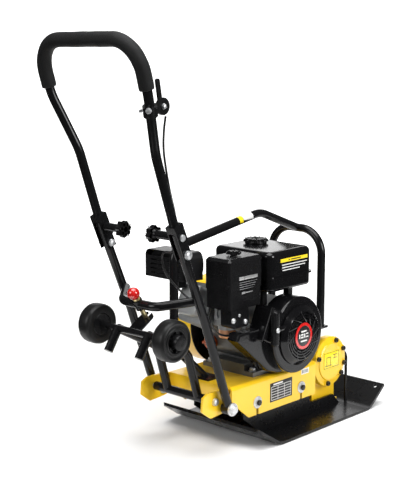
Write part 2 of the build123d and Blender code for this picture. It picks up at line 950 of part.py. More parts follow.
with BuildPart() as starter_grip:
    with BuildSketch(Plane.XY.offset(grip_low_z)):
        with Locations((grip_x, grip_y)):
            RectangleRounded(grip_thickness, grip_thickness, grip_corner)
    extrude(amount=grip_height)
    fillet(starter_grip.faces().group_by(Axis.Z)[-1].edges(), grip_corner - 2)
    fillet(starter_grip.faces().group_by(Axis.Z)[0].edges(), grip_corner - 2)
    with BuildSketch(Plane.XZ.offset(-grip_y)):
        with Locations((rope_x, grip_z)):
            Circle(rope_radius)
    extrude(amount=-grip_travel_length)
starter_grip.part.label = "starter_grip"

# ---- engine: tank, air cleaner, carburettor and muffler -----------------------------------------


def tank_block(inset, z0, z1, mode=Mode.ADD):
    """A rounded slab of the tank, smaller all round by the inset."""
    with BuildSketch(Plane.XY.offset(z0)) as face:
        with Locations(((tank_left_x + tank_right_x) / 2, (tank_rear_y + tank_front_y) / 2)):
            RectangleRounded(tank_right_x - tank_left_x - 2 * inset,
                             tank_front_y - tank_rear_y - 2 * inset, tank_corner - inset / 2)
    extrude(face.sketch, amount=z1 - z0, mode=mode)


with BuildPart() as fuel_tank:
    tank_block(tank_seam_reach, tank_bottom_z, tank_top_z)
    fillet(fuel_tank.faces().sort_by(Axis.Z)[-1].edges(), tank_top_fillet)
    fillet(fuel_tank.faces().sort_by(Axis.Z)[0].edges(), tank_bottom_fillet)
    tank_block(0, tank_seam_z - tank_seam_height / 2, tank_seam_z + tank_seam_height / 2)
    tank_block(tank_seam_reach + tank_wall, tank_bottom_z + 1.5 * tank_wall,
               tank_top_z - 2 * tank_wall, Mode.SUBTRACT)
    with BuildSketch(Plane.XY.offset(tank_top_z)):
        with Locations((cap_x, cap_y)):
            Circle(neck_radius)
    extrude(amount=neck_height)
    with BuildSketch(Plane.XY.offset(tank_top_z + neck_height)):
        with Locations((cap_x, cap_y)):
            Circle(neck_radius - neck_wall)
    extrude(amount=-neck_height - 2 * tank_wall - neck_wall, mode=Mode.SUBTRACT)
fuel_tank.part.label = "fuel_tank"

with BuildPart() as tank_mounts:
    for x in mount_xs:
        for side in (-1, 1):
            y = crank_y + side * mount_offset_y
            block(x - mount_half, x + mount_half, y - mount_half, y + mount_half,
                  crankcase_top_z, tank_bottom_z)
tank_mounts.part.label = "tank_mounts"

with BuildPart() as fuel_cap:
    cap_floor = tank_top_z + neck_height + PART_GAP
    with BuildSketch(Plane.XY.offset(tank_top_z + PART_GAP)):
        with Locations((cap_x, cap_y)):
            Circle(cap_radius)
            Circle(neck_radius + RUN_FIT, mode=Mode.SUBTRACT)
    extrude(amount=neck_height)
    with BuildSketch(Plane.XY.offset(cap_floor)):
        with Locations((cap_x, cap_y)):
            Circle(cap_radius)
            with PolarLocations(cap_radius + cap_scallop / 2, cap_lobes):
                Circle(cap_scallop, mode=Mode.SUBTRACT)
    extrude(amount=cap_height - neck_height)
    fillet(fuel_cap.faces().sort_by(Axis.Z)[-1].edges(), 1)
fuel_cap.part.label = "fuel_cap"

cleaner_x = (cleaner_left_x + cleaner_right_x) / 2
cleaner_y = (cleaner_rear_y + cleaner_front_y) / 2
cleaner_size_x = cleaner_right_x - cleaner_left_x
cleaner_size_y = cleaner_front_y - cleaner_rear_y

with BuildPart() as air_cleaner_base:
    with BuildSketch(Plane.XY.offset(cleaner_bottom_z)):
        with Locations((cleaner_x, cleaner_y)):
            RectangleRounded(cleaner_size_x - 2 * cleaner_inset,
                             cleaner_size_y - 2 * cleaner_inset, cleaner_corner - cleaner_inset)
    extrude(amount=cleaner_seam_z - cleaner_bottom_z)
    block(elbow_left_x, cleaner_right_x, elbow_rear_y, elbow_front_y,
          elbow_bottom_z, cleaner_bottom_z)
    fillet(air_cleaner_base.faces().sort_by(Axis.Z)[0].edges().filter_by(Axis.X), elbow_fillet)
    with BuildSketch(Plane.XY.offset(cleaner_seam_z)):
        with Locations((cleaner_x, cleaner_y)):
            RectangleRounded(cleaner_size_x - 2 * filter_room, cleaner_size_y - 2 * filter_room,
                             cleaner_corner / 2)
    extrude(amount=-filter_floor, mode=Mode.SUBTRACT)
air_cleaner_base.part.label = "air_cleaner_base"

with BuildPart() as air_cleaner_cover:
    with BuildSketch(Plane.XY.offset(cleaner_seam_z)):
        with Locations((cleaner_x, cleaner_y)):
            RectangleRounded(cleaner_size_x, cleaner_size_y, cleaner_corner)
    extrude(amount=cleaner_top_z - cleaner_seam_z)
    chamfer(air_cleaner_cover.faces().sort_by(Axis.Z)[-1].edges(), cleaner_chamfer)
    with BuildSketch(Plane.XY.offset(cleaner_seam_z)):
        with Locations((cleaner_x, cleaner_y)):
            RectangleRounded(cleaner_size_x - 2 * cleaner_wall,
                             cleaner_size_y - 2 * cleaner_wall, cleaner_corner - cleaner_wall)
    extrude(amount=cleaner_top_z - cleaner_seam_z - cleaner_chamfer - 2 * cleaner_wall,
            mode=Mode.SUBTRACT)
air_cleaner_cover.part.label = "air_cleaner_cover"

with BuildPart() as air_filter:
    with BuildSketch(Plane.XY.offset(cleaner_seam_z - filter_floor + 2)):
        with Locations((cleaner_x, cleaner_y)):
            RectangleRounded(cleaner_size_x - 3 * filter_room, cleaner_size_y - 3 * filter_room,
                             cleaner_corner)
            Circle(filter_core_radius, mode=Mode.SUBTRACT)
    extrude(amount=filter_height)
air_filter.part.label = "air_filter"

with BuildPart() as wing_nut:
    nut_floor = cleaner_top_z + PART_GAP
    with BuildSketch(Plane.XY.offset(nut_floor)):
        with Locations((cleaner_x, cleaner_y)):
            Circle(nut_radius)
    extrude(amount=nut_height)
    with BuildSketch(Plane.XZ.offset(-cleaner_y)):
        with BuildLine():
            Polyline(
                (cleaner_x - nut_radius / 2, nut_floor),
                (cleaner_x - nut_wing_reach, nut_floor + nut_height),
                (cleaner_x - nut_wing_reach, nut_floor + nut_wing_top),
                (cleaner_x, nut_floor + nut_height),
                (cleaner_x + nut_wing_reach, nut_floor + nut_wing_top),
                (cleaner_x + nut_wing_reach, nut_floor + nut_height),
                (cleaner_x + nut_radius / 2, nut_floor),
                close=True,
            )
        make_face()
    extrude(amount=nut_wing_half, both=True)
wing_nut.part.label = "wing_nut"

with BuildPart() as carburettor:
    block(cylinder_x + fin_width / 2 + 2, elbow_left_x - 1, carb_y - carb_half, carb_y + carb_half,
          carb_z - carb_half, carb_z + carb_half)
    with BuildSketch(Plane.XY.offset(bowl_top_z)):
        with Locations((carb_x, carb_y)):
            Circle(bowl_radius + 2)
    extrude(amount=bowl_flange)
carburettor.part.label = "carburettor"

with BuildPart() as carburettor_bowl:
    with BuildSketch(Plane.XY.offset(bowl_top_z)):
        with Locations((carb_x, carb_y)):
            Circle(bowl_radius)
    extrude(amount=-bowl_height)
    fillet(carburettor_bowl.faces().sort_by(Axis.Z)[0].edges(), bowl_radius / 3)
carburettor_bowl.part.label = "carburettor_bowl"

with BuildPart() as choke_lever:
    choke_y = carb_y - carb_half - PART_GAP
    with BuildSketch(Plane.XZ.offset(-choke_y)):
        with Locations((choke_x, choke_z)):
            Circle(choke_hub_radius)
        with Locations((choke_x, choke_z + choke_reach / 2)):
            Rectangle(choke_width, choke_reach)
    extrude(amount=choke_sheet)
choke_lever.part.label = "choke_lever"

muffler_depth = muffler_front_y - muffler_rear_y - muffler_back_gap

with BuildPart() as muffler:
    with BuildSketch(Plane.XZ.offset(-muffler_front_y)):
        with Locations(((muffler_left_x + muffler_right_x) / 2,
                        (muffler_bottom_z + muffler_top_z) / 2)):
            RectangleRounded(muffler_right_x - muffler_left_x, muffler_top_z - muffler_bottom_z,
                             muffler_corner)
    extrude(amount=muffler_depth)
    with BuildSketch(Plane.XZ.offset(-muffler_front_y + muffler_wall)):
        with Locations(((muffler_left_x + muffler_right_x) / 2,
                        (muffler_bottom_z + muffler_top_z) / 2)):
            RectangleRounded(muffler_right_x - muffler_left_x - 2 * muffler_wall,
                             muffler_top_z - muffler_bottom_z - 2 * muffler_wall,
                             muffler_corner - muffler_wall)
    extrude(amount=muffler_depth - 2 * muffler_wall, mode=Mode.SUBTRACT)
    block(flange_left_x, flange_right_x, flange_rear_y, flange_front_y, flange_bottom_z,
          muffler_bottom_z + 2 * muffler_wall)
    with BuildSketch(side_plane(muffler_left_x + muffler_wall)):
        with Locations((outlet_y, outlet_z)):
            Circle(outlet_radius)
            Circle(outlet_radius - outlet_wall, mode=Mode.SUBTRACT)
    extrude(amount=-outlet_length)
muffler.part.label = "muffler"

with BuildPart() as muffler_shield:
    with BuildSketch(Plane.XZ.offset(-muffler_front_y + shield_front)):
        with BuildLine():
            FilletPolyline(
                (muffler_left_x - shield_gap, muffler_bottom_z - shield_gap),
                (muffler_left_x - shield_gap, muffler_top_z + shield_gap),
                (muffler_right_x + shield_gap, muffler_top_z + shield_gap),
                (muffler_right_x + shield_gap, muffler_bottom_z - shield_gap),
                radius=shield_corner,
            )
            offset(amount=shield_sheet, side=Side.RIGHT)
        make_face()
    extrude(amount=muffler_front_y - muffler_rear_y - shield_front)
    block(muffler_left_x - shield_gap, muffler_right_x + shield_gap, muffler_rear_y,
          muffler_rear_y + shield_sheet, muffler_bottom_z - shield_gap,
          muffler_top_z + shield_gap - shield_corner)
    disc(muffler_left_x - outlet_length, muffler_left_x, outlet_radius + outlet_wall,
         outlet_y, outlet_z, Mode.SUBTRACT)
    with BuildSketch(Plane.XZ.offset(-muffler_rear_y)):
        with Locations(((muffler_left_x + muffler_right_x) / 2, louvre_z)):
            with GridLocations(louvre_pitch_x, louvre_pitch_z, 4, 4):
                SlotOverall(louvre_length, louvre_width)
    extrude(amount=-shield_sheet, mode=Mode.SUBTRACT)
muffler_shield.part.label = "muffler_shield"

# ---- belt drive ---------------------------------------------------------------------------------

with BuildPart() as clutch_drum:
    disc(clutch_left_x, clutch_right_x, clutch_drum_radius, crank_y, crank_z)
    pulley(clutch_belt_radius, crank_y, crank_z)
    disc(clutch_left_x, clutch_right_x, pto_radius, crank_y, crank_z, Mode.SUBTRACT)
clutch_drum.part.label = "clutch_drum"


def belt_hull(shrink):
    """The stretched loop round both pulleys, smaller by the given amount."""
    with BuildSketch(mode=Mode.PRIVATE) as loop:
        with Locations((crank_y, crank_z)):
            Circle(clutch_belt_radius - shrink)
        with Locations((exciter_y, exciter_z)):
            Circle(exciter_belt_radius - shrink)
        make_hull()
    return loop.sketch


with BuildPart() as drive_belt:
    with BuildSketch(side_plane(belt_x - belt_width / 2)):
        add(belt_hull(0))
        add(belt_hull(belt_thickness), mode=Mode.SUBTRACT)
    extrude(amount=belt_width)
drive_belt.part.label = "drive_belt"


def guard_outline(shrink):
    """Outline of the belt guard round both pulleys, smaller by the given amount."""
    with BuildSketch(mode=Mode.PRIVATE) as loop:
        with Locations((crank_y, crank_z)):
            Circle(guard_crank_radius - shrink)
        with Locations((exciter_y, exciter_z)):
            Circle(guard_exciter_radius - shrink)
        make_hull()
    return loop.sketch


with BuildPart() as belt_guard:
    with BuildSketch(side_plane(guard_left_x)):
        add(guard_outline(0))
    extrude(amount=guard_right_x - guard_left_x - guard_sheet)
    fillet(belt_guard.faces().sort_by(Axis.X)[0].edges(), 2.5 * guard_sheet)
    with BuildSketch(side_plane(guard_left_x + guard_sheet)):
        add(guard_outline(guard_sheet))
    extrude(amount=guard_right_x - guard_left_x, mode=Mode.SUBTRACT)
belt_guard.part.label = "belt_guard"

with BuildPart() as guard_back:
    with BuildSketch(side_plane(guard_right_x - guard_sheet)):
        add(guard_outline(0))
        with Locations((crank_y, crank_z)):
            Circle(guard_hole_radius, mode=Mode.SUBTRACT)
        with Locations((exciter_y, exciter_z)):
            Circle(guard_hole_radius, mode=Mode.SUBTRACT)
    extrude(amount=guard_sheet)
    for angle in guard_post_angles:
        disc(guard_right_x, crankcase_left_x, guard_post_radius,
             crank_y + guard_post_circle * cos(radians(angle)),
             crank_z + guard_post_circle * sin(radians(angle)))
guard_back.part.label = "guard_back"

# ---- cage ---------------------------------------------------------------------------------------

with BuildPart() as cage_hoop:
    tube_along(
        [(-hoop_half_width, hoop_y, hoop_foot_z), (-hoop_half_width, hoop_y, hoop_top_z),
         (hoop_half_width, hoop_y, hoop_top_z), (hoop_half_width, hoop_y, hoop_foot_z)],
        hoop_bend, tube_radius, tube_radius - tube_wall)
cage_hoop.part.label = "cage_hoop"

with BuildPart() as cage_bar:
    tube_along(
        [(0, hoop_y, hoop_top_z), (0, bar_peak_y, bar_peak_z), (0, rear_leg_y, bar_rear_z),
         (0, rear_leg_y, rear_leg_low_z), (0, rear_foot_y, deck_top_z)],
        bar_bends, tube_radius, tube_radius - tube_wall)
    block(-bar_foot_half_width, bar_foot_half_width, rear_foot_y - bar_cut, rear_foot_y + bar_cut,
          deck_top_z - bar_cut, deck_top_z, Mode.SUBTRACT)
    block(-hoop_half_width, hoop_half_width, hoop_y - 2 * tube_radius, hoop_y + 2 * tube_radius,
          hoop_top_z - 3 * tube_radius, hoop_top_z - tube_radius, Mode.SUBTRACT)
    disc(-2 * tube_radius, 2 * tube_radius, tube_radius, hoop_y, hoop_top_z, Mode.SUBTRACT)
    block(-bar_foot_half_width, bar_foot_half_width, rear_foot_y - bar_foot_half_length,
          rear_foot_y + bar_foot_half_length, deck_top_z, deck_top_z + riser_sheet)
cage_bar.part.label = "cage_bar"

with BuildPart() as cage_riser:
    shelf_z = hoop_foot_z - riser_sheet
    riser_half = hoop_half_width + riser_reach
    block(-riser_half, riser_half, riser_y, hoop_y + riser_nose, shelf_z, hoop_foot_z)
    block(-riser_half, riser_half, riser_y - riser_sheet, riser_y, deck_top_z, hoop_foot_z)
    block(-riser_half, riser_half, riser_y - riser_sheet - riser_toe, riser_y,
          deck_top_z, deck_top_z + riser_sheet)
cage_riser.part.label = "cage_riser"

# ---- rear brackets ------------------------------------------------------------------------------

with BuildPart() as rear_brackets:
    with BuildSketch(side_plane(bracket_outer_x - bracket_sheet)) as ear:
        with BuildLine():
            Polyline(*bracket_outline, close=True)
        make_face()
        fillet(ear.vertices().group_by(Axis.X)[0], bracket_corner)
        with Locations((pivot_y, pivot_z)):
            Circle(bracket_bolt_radius, mode=Mode.SUBTRACT)
        with Locations((carriage_y, carriage_z)):
            Circle(bracket_bolt_radius, mode=Mode.SUBTRACT)
    extrude(amount=bracket_sheet)
    mirror(about=Plane.YZ)
rear_brackets.part.label = "rear_brackets"

# ---- lower handle and its brace -----------------------------------------------------------------

lower_top = along_handle(tube_above_fold)

with BuildPart() as lower_handle:
    for side in (-1, 1):
        x = side * handle_half_width
        tube_along([(x, pivot_y, pivot_z), (x, mid_y, mid_z), (x, *lower_top)], lower_bend,
                   tube_radius, tube_radius - tube_wall)
        inner = side * (handle_half_width - tube_radius - boss_reach)
        outer = side * (handle_half_width + tube_radius)
        disc(inner, outer, boss_radius, pivot_y, pivot_z)
        disc(inner, outer, bracket_bolt_radius, pivot_y, pivot_z, Mode.SUBTRACT)
        disc(side * (handle_half_width - tube_radius - 1), side * (handle_half_width + tube_radius + 1),
             fold_bolt_radius, fold_y, fold_z, Mode.SUBTRACT)
        with BuildSketch(fold_plane(side).offset(knob_above_fold - slot_half)):
            with Locations((0, slot_middle)):
                Rectangle(2 * tube_radius + 2, slot_depth)
        extrude(amount=2 * slot_half, mode=Mode.SUBTRACT)
lower_handle.part.label = "lower_handle"

pin_dir = unit(*latch_tilt)


def latch_plane(distance):
    """Plane across the latch pin at a distance above the brace."""
    return Plane(
        origin=(0, brace_y + pin_dir[0] * distance, brace_z + pin_dir[1] * distance),
        x_dir=(1, 0, 0),
        z_dir=(0, pin_dir[0], pin_dir[1]),
    )


with BuildPart() as bow_brace:
    ratio = (brace_z + brace_end_rise - mid_z) / (fold_z - mid_z)
    end_y = mid_y + (fold_y - mid_y) * ratio
    end_x = handle_half_width - tube_radius + 1
    tube_along(
        [(-end_x, end_y, brace_z + brace_end_rise), (-brace_flat_half, brace_y, brace_z),
         (brace_flat_half, brace_y, brace_z), (end_x, end_y, brace_z + brace_end_rise)],
        brace_bend, tube_radius, tube_radius - tube_wall)
    with BuildSketch(latch_plane(-latch_sleeve_half)):
        Circle(latch_sleeve_radius)
    extrude(amount=2 * latch_sleeve_half)
    with BuildSketch(latch_plane(-latch_sleeve_half)):
        Circle(latch_pin_radius + RUN_FIT)
    extrude(amount=2 * latch_sleeve_half, mode=Mode.SUBTRACT)
    for side in (-1, 1):
        x = side * handle_half_width
        tube_along([(x, mid_y, mid_z), (x, fold_y, fold_z)], 0, tube_radius,
                   mode=Mode.SUBTRACT)
bow_brace.part.label = "bow_brace"

with BuildPart() as latch_pin:
    with BuildSketch(latch_plane(-latch_pin_reach)):
        Circle(latch_pin_radius)
    extrude(amount=latch_pin_reach + latch_ball_distance - latch_ball_radius + 1)
    with BuildSketch(latch_plane(latch_sleeve_half + PART_GAP)):
        Circle(latch_pin_radius + latch_collar_reach)
    extrude(amount=latch_collar_height)
latch_pin.part.label = "latch_pin"

with BuildPart(latch_plane(latch_ball_distance)) as latch_ball:
    Sphere(latch_ball_radius)
    with BuildSketch(latch_plane(0)):
        Circle(latch_pin_radius)
    extrude(amount=latch_ball_distance - latch_ball_radius + 1, mode=Mode.SUBTRACT)
latch_ball.part.label = "latch_ball"

with BuildPart() as handle_bolts:
    for side in (-1, 1):
        inner = side * (bracket_outer_x - bracket_sheet)
        outer = side * (handle_half_width + tube_radius)
        disc(inner, outer, bracket_bolt_radius, pivot_y, pivot_z)
        cap = outer + side * pivot_washer_height
        disc(outer, cap, pivot_washer_radius, pivot_y, pivot_z)
        disc(cap, cap + side * pivot_cap_height, pivot_cap_radius, pivot_y, pivot_z)
        disc(inner, inner - side * pivot_cap_height, pivot_nut_radius, pivot_y, pivot_z)
        reach = tube_radius + PART_GAP + fork_cheek
        inner = side * (handle_half_width - reach)
        outer = side * (handle_half_width + reach)
        disc(inner, outer, fold_bolt_radius, fold_y, fold_z)
        disc(outer + side * PART_GAP, outer + side * (PART_GAP + fold_cap_height),
             fold_cap_radius, fold_y, fold_z)
        disc(outer, outer + side * PART_GAP, fold_bolt_radius, fold_y, fold_z)
        disc(inner, inner - side * PART_GAP, fold_bolt_radius, fold_y, fold_z)
        disc(inner - side * PART_GAP, inner - side * (PART_GAP + fold_cap_height),
             fold_nut_radius, fold_y, fold_z)
        disc(side * (bracket_outer_x - bracket_sheet), side * bracket_outer_x,
             bracket_bolt_radius, carriage_y, carriage_z)
        disc(side * bracket_outer_x, side * (bracket_outer_x + pivot_cap_height),
             pivot_nut_radius, carriage_y, carriage_z)
        disc(side * (carriage_half_width - pin_reach), side * (bracket_outer_x - bracket_sheet),
             bracket_bolt_radius, carriage_y, carriage_z)
handle_bolts.part.label = "handle_bolts"

# ---- upper handle -------------------------------------------------------------------------------

cheek_inner = tube_radius + PART_GAP
fork_outer = cheek_inner + fork_cheek
tube_start = along_handle(fork_plug_start)
top_points = [
    (handle_half_width, *tube_start),
    (handle_half_width, bend_y, bend_z),
    (flare_half_width, grip_end_y, grip_end_z),
    (flare_half_width, top_y, top_z),
]
upper_route = top_points + [(-x, y, z) for x, y, z in reversed(top_points)]

with BuildPart() as upper_handle:
    tube_along(upper_route,
               [flare_bend, flare_bend, top_bend, top_bend, flare_bend, flare_bend],
               tube_radius, tube_radius - tube_wall)
    for side in (-1, 1):
        with BuildSketch(fold_plane(side).offset(-fork_below)):
            for cheek in (-1, 1):
                with Locations((cheek * (cheek_inner + fork_cheek / 2), 0)):
                    Rectangle(fork_cheek, 2 * fork_half_depth)
        extrude(amount=fork_below + fork_above)
        with BuildSketch(fold_plane(side).offset(fork_back_start)):
            with Locations((0, fork_half_depth + fork_cheek / 2)):
                Rectangle(2 * fork_outer, fork_cheek)
        extrude(amount=fork_above - fork_back_start)
        with BuildSketch(fold_plane(side).offset(fork_plug_start)):
            Rectangle(2 * cheek_inner, 2 * fork_half_depth)
        extrude(amount=fork_above - fork_plug_start)
        disc(side * (handle_half_width - fork_outer - 1), side * (handle_half_width + fork_outer + 1),
             fold_bolt_radius + RUN_FIT, fold_y, fold_z, Mode.SUBTRACT)
        disc(side * (knob_outer_x + PART_GAP), side * (handle_half_width - fork_outer),
             spacer_radius, knob_y, knob_z)
        disc(side * knob_outer_x, side * (handle_half_width + fork_outer + 1),
             fold_bolt_radius + RUN_FIT, knob_y, knob_z, Mode.SUBTRACT)
upper_handle.part.label = "upper_handle"

foam_points = [
    (flare_half_width, grip_end_y - foam_end_back, grip_end_z + foam_end_rise),
    (flare_half_width, top_y, top_z),
    (-flare_half_width, top_y, top_z),
    (-flare_half_width, grip_end_y - foam_end_back, grip_end_z + foam_end_rise),
]

with BuildPart() as foam_grip:
    tube_along(foam_points, top_bend, foam_radius, tube_radius + RUN_FIT)
foam_grip.part.label = "foam_grip"


def build_knob(side):
    """Star knob with its clamping screw, on one side."""
    with BuildPart() as knob:
        with BuildSketch(side_plane(side * knob_inner_x)):
            with Locations((knob_y, knob_z)):
                Circle(knob_core_radius)
                with PolarLocations(knob_core_radius, knob_lobes):
                    Circle(knob_lobe_radius)
        extrude(amount=side * (knob_outer_x - knob_inner_x - knob_neck))
        disc(side * (knob_outer_x - knob_neck), side * knob_outer_x, knob_neck_radius,
             knob_y, knob_z)
        disc(side * knob_outer_x, side * (handle_half_width + fork_outer + PART_GAP),
             fold_bolt_radius, knob_y, knob_z)
        disc(side * (handle_half_width + fork_outer + PART_GAP),
             side * (handle_half_width + fork_outer + screw_head_height), screw_head_radius,
             knob_y, knob_z)
    return knob


knob_left = build_knob(-1)
knob_left.part.label = "knob_left"
knob_right = build_knob(1)
knob_right.part.label = "knob_right"

# ---- throttle control and cable -----------------------------------------------------------------

clamp_dir = Vector(flare_half_width - handle_half_width, grip_end_y - bend_y,
                   grip_end_z - bend_z).normalized()
clamp_top = Vector(flare_half_width, grip_end_y, grip_end_z) - clamp_dir * clamp_drop
lever_pivot = Vector(clamp_top.X, clamp_top.Y + pivot_forward, clamp_top.Z - pivot_drop)
plate_right_x = lever_pivot.X + pivot_plate_thickness

with BuildPart() as throttle_clamp:
    with BuildSketch(Plane(origin=clamp_top, z_dir=-clamp_dir)):
        Circle(clamp_radius)
        Circle(tube_radius + RUN_FIT, mode=Mode.SUBTRACT)
    extrude(amount=clamp_width)
    with BuildSketch(side_plane(lever_pivot.X)):
        with Locations((lever_pivot.Y - pivot_arm / 2, lever_pivot.Z)):
            Rectangle(pivot_arm, pivot_arm_width)
        with Locations((lever_pivot.Y, lever_pivot.Z)):
            Circle(pivot_plate_radius)
            Circle(pivot_pin_radius + RUN_FIT, mode=Mode.SUBTRACT)
    extrude(amount=pivot_plate_thickness)
    with BuildSketch(Plane(origin=clamp_top, z_dir=-clamp_dir)):
        Circle(tube_radius + RUN_FIT)
    extrude(amount=clamp_width, both=True, mode=Mode.SUBTRACT)
throttle_clamp.part.label = "throttle_clamp"

with BuildPart() as throttle_lever:
    lever_x = lever_pivot.X - lever_thickness - PART_GAP
    with BuildSketch(side_plane(lever_x)):
        with Locations((lever_pivot.Y, lever_pivot.Z)):
            Circle(lever_hub_radius)
        with Locations(Location((lever_pivot.Y, lever_pivot.Z, 0), (0, 0, lever_angle))):
            with Locations((lever_length / 2, 0)):
                SlotOverall(lever_length, lever_width)
    extrude(amount=lever_thickness)
    disc(lever_pivot.X - PART_GAP, plate_right_x + PART_GAP, pivot_pin_radius,
         lever_pivot.Y, lever_pivot.Z)
    disc(plate_right_x + PART_GAP, plate_right_x + pivot_head_height, pivot_head_radius,
         lever_pivot.Y, lever_pivot.Z)
throttle_lever.part.label = "throttle_lever"

# The cable leaves the lever and lies along the front of the tube.  Where it crosses the fold it
# runs along the fold's own axis, so folding the handle only twists it.
cable_split = (80, fold_y, fold_z)
cable_upper_points = [
    (lever_pivot.X + 8, lever_pivot.Y + 4, lever_pivot.Z - 21),
    (158, -586, 815),
    (142, -573, 768),
    (132, -554, 715),
    (126, -535, 662),
    (114, -508, 615),
    (104, -494, 570),
    (104, fold_y, fold_z),
    cable_split,
]
cable_lower_points = [
    cable_split,
    (56, fold_y, fold_z),
    (60, -490, 470),
    (72, -460, 430),
    (90, -425, 392),
    (96, -385, 346),
    (93, -345, 302),
    (86, -300, 286),
    (84, -262, 284),
]


def cable_radii(points):
    """The bend radius at each inner point, from its two runs and its turn."""
    radii = []
    for before, here, after in zip(points, points[1:], points[2:]):
        run_in = Vector(here) - Vector(before)
        run_out = Vector(after) - Vector(here)
        room_in = run_in.length * (2 if before is points[0] else 1)
        room_out = run_out.length * (2 if after is points[-1] else 1)
        turn = radians(run_in.get_angle(run_out))
        radii.append(cable_bend_share * min(room_in, room_out) / tan(turn / 2))
    return radii


with BuildPart() as cable_upper:
    tube_along(cable_upper_points, cable_radii(cable_upper_points), cable_radius)
cable_upper.part.label = "cable_upper"

with BuildPart() as cable_lower:
    tube_along(cable_lower_points, cable_radii(cable_lower_points), cable_radius)
cable_lower.part.label = "cable_lower"

with BuildPart() as throttle_arm:
    with BuildSketch(side_plane(arm_x_left)):
        with Locations((arm_pivot_y, arm_pivot_z)):
            Circle(arm_width)
        with Locations(Location((arm_pivot_y, arm_pivot_z, 0), (0, 0, arm_angle))):
            with Locations((arm_length / 2, 0)):
                SlotOverall(arm_length + arm_width, arm_width)
    extrude(amount=arm_sheet)
    disc(arm_x_left - arm_boss_length, arm_x_left, arm_boss_radius, arm_pivot_y, arm_pivot_z)
    disc(arm_x_left + arm_sheet, shroud_left_x - PART_GAP, pivot_pin_radius,
         arm_pivot_y, arm_pivot_z)
throttle_arm.part.label = "throttle_arm"

# ---- transport carriage -------------------------------------------------------------------------

with BuildPart() as carriage_frame:
    disc(-carriage_half_width, carriage_half_width, tube_radius, carriage_y, carriage_z)
    disc(-carriage_half_width, carriage_half_width, bracket_bolt_radius + RUN_FIT,
         carriage_y, carriage_z, Mode.SUBTRACT)
    for side in (-1, 1):
        x = side * arm_x
        tube_along([(x, carriage_y, carriage_z), (x, arm_bend_y, arm_bend_z), (x, axle_y, axle_z)],
                   arm_bend, tube_radius)
        stub_dir = (cos(radians(stub_angle)), sin(radians(stub_angle)))
        tube_along([(x, axle_y, axle_z),
                    (x, axle_y + stub_dir[0] * stub_length, axle_z + stub_dir[1] * stub_length)],
                   0, tube_radius)
    disc(-carriage_half_width, carriage_half_width, bracket_bolt_radius + RUN_FIT,
         carriage_y, carriage_z, Mode.SUBTRACT)
    disc(-axle_half_length, axle_half_length, axle_radius, axle_y, axle_z)
    plate_dir = (pin_dir[1], -pin_dir[0])
    drop = (axle_y - brace_y) * pin_dir[0] + (axle_z - brace_z) * pin_dir[1]
    hole = (brace_y + pin_dir[0] * drop, brace_z + pin_dir[1] * drop)
    plate_reach = hypot(hole[0] - axle_y, hole[1] - axle_z)
    latch_face = Plane(
        origin=(0, axle_y, axle_z),
        x_dir=(0, plate_dir[0], plate_dir[1]),
        z_dir=(0, pin_dir[0], pin_dir[1]),
    )
    with BuildSketch(latch_face.offset(-latch_plate_sheet / 2)):
        with Locations((plate_reach / 2, 0)):
            Rectangle(plate_reach, 2 * latch_plate_half)
        with Locations((plate_reach, 0)):
            Circle(latch_plate_half)
            Circle(latch_pin_radius + PART_GAP, mode=Mode.SUBTRACT)
        with Locations((plate_reach + latch_plate_half, 0)):
            Rectangle(2 * latch_plate_half, 2 * (latch_pin_radius + PART_GAP), mode=Mode.SUBTRACT)
    extrude(amount=latch_plate_sheet)
carriage_frame.part.label = "carriage_frame"


def build_tyre(side):
    """Solid rubber tyre with rounded shoulders."""
    with BuildPart() as tyre:
        with BuildSketch(side_plane(side * wheel_inner_x)):
            with Locations((axle_y, axle_z)):
                Circle(wheel_radius)
        extrude(amount=side * (wheel_outer_x - wheel_inner_x))
        fillet(tyre.edges().filter_by(GeomType.CIRCLE), tyre_shoulder)
        disc(side * wheel_inner_x, side * wheel_outer_x, hub_radius, axle_y, axle_z, Mode.SUBTRACT)
    return tyre


def build_hub(side):
    """Plastic hub with a recessed web and a flat cap over the axle's end."""
    with BuildPart() as hub:
        disc(side * wheel_inner_x, side * wheel_outer_x, hub_radius, axle_y, axle_z)
        with BuildSketch(side_plane(side * wheel_outer_x)):
            with Locations((axle_y, axle_z)):
                Circle(hub_radius - hub_rim)
                Circle(hub_cap_radius, mode=Mode.SUBTRACT)
        extrude(amount=-side * hub_recess, mode=Mode.SUBTRACT)
        disc(side * wheel_outer_x, side * (axle_half_length + hub_cap_reach), hub_cap_radius,
             axle_y, axle_z)
        disc(side * wheel_inner_x, side * (axle_half_length + PART_GAP), axle_radius + RUN_FIT,
             axle_y, axle_z, Mode.SUBTRACT)
    return hub


tyre_left = build_tyre(-1)
tyre_left.part.label = "tyre_left"
tyre_right = build_tyre(1)
tyre_right.part.label = "tyre_right"
hub_left = build_hub(-1)
hub_left.part.label = "hub_left"
hub_right = build_hub(1)
hub_right.part.label = "hub_right"

# ---- plates and stickers ------------------------------------------------------------------------

with BuildPart() as labels:
    block(deck_half_width, deck_half_width + sticker, *rating_plate)
    block(deck_half_width, deck_half_width + sticker, *small_label)
    block(boss_face_x, boss_face_x + sticker, exciter_y - sign_half_width,
          exciter_y + sign_half_width, exciter_z - sign_half_height, exciter_z + sign_half_height)
    disc(recoil_face_x, recoil_face_x + badge_thickness, badge_radius, crank_y, crank_z)
    block(cleaner_right_x, cleaner_right_x + sticker, *cleaner_label)
    block(tank_right_x - tank_seam_reach, tank_right_x - tank_seam_reach + sticker, *tank_label)
labels.part.label = "labels"

# ---- export -------------------------------------------------------------------------------------

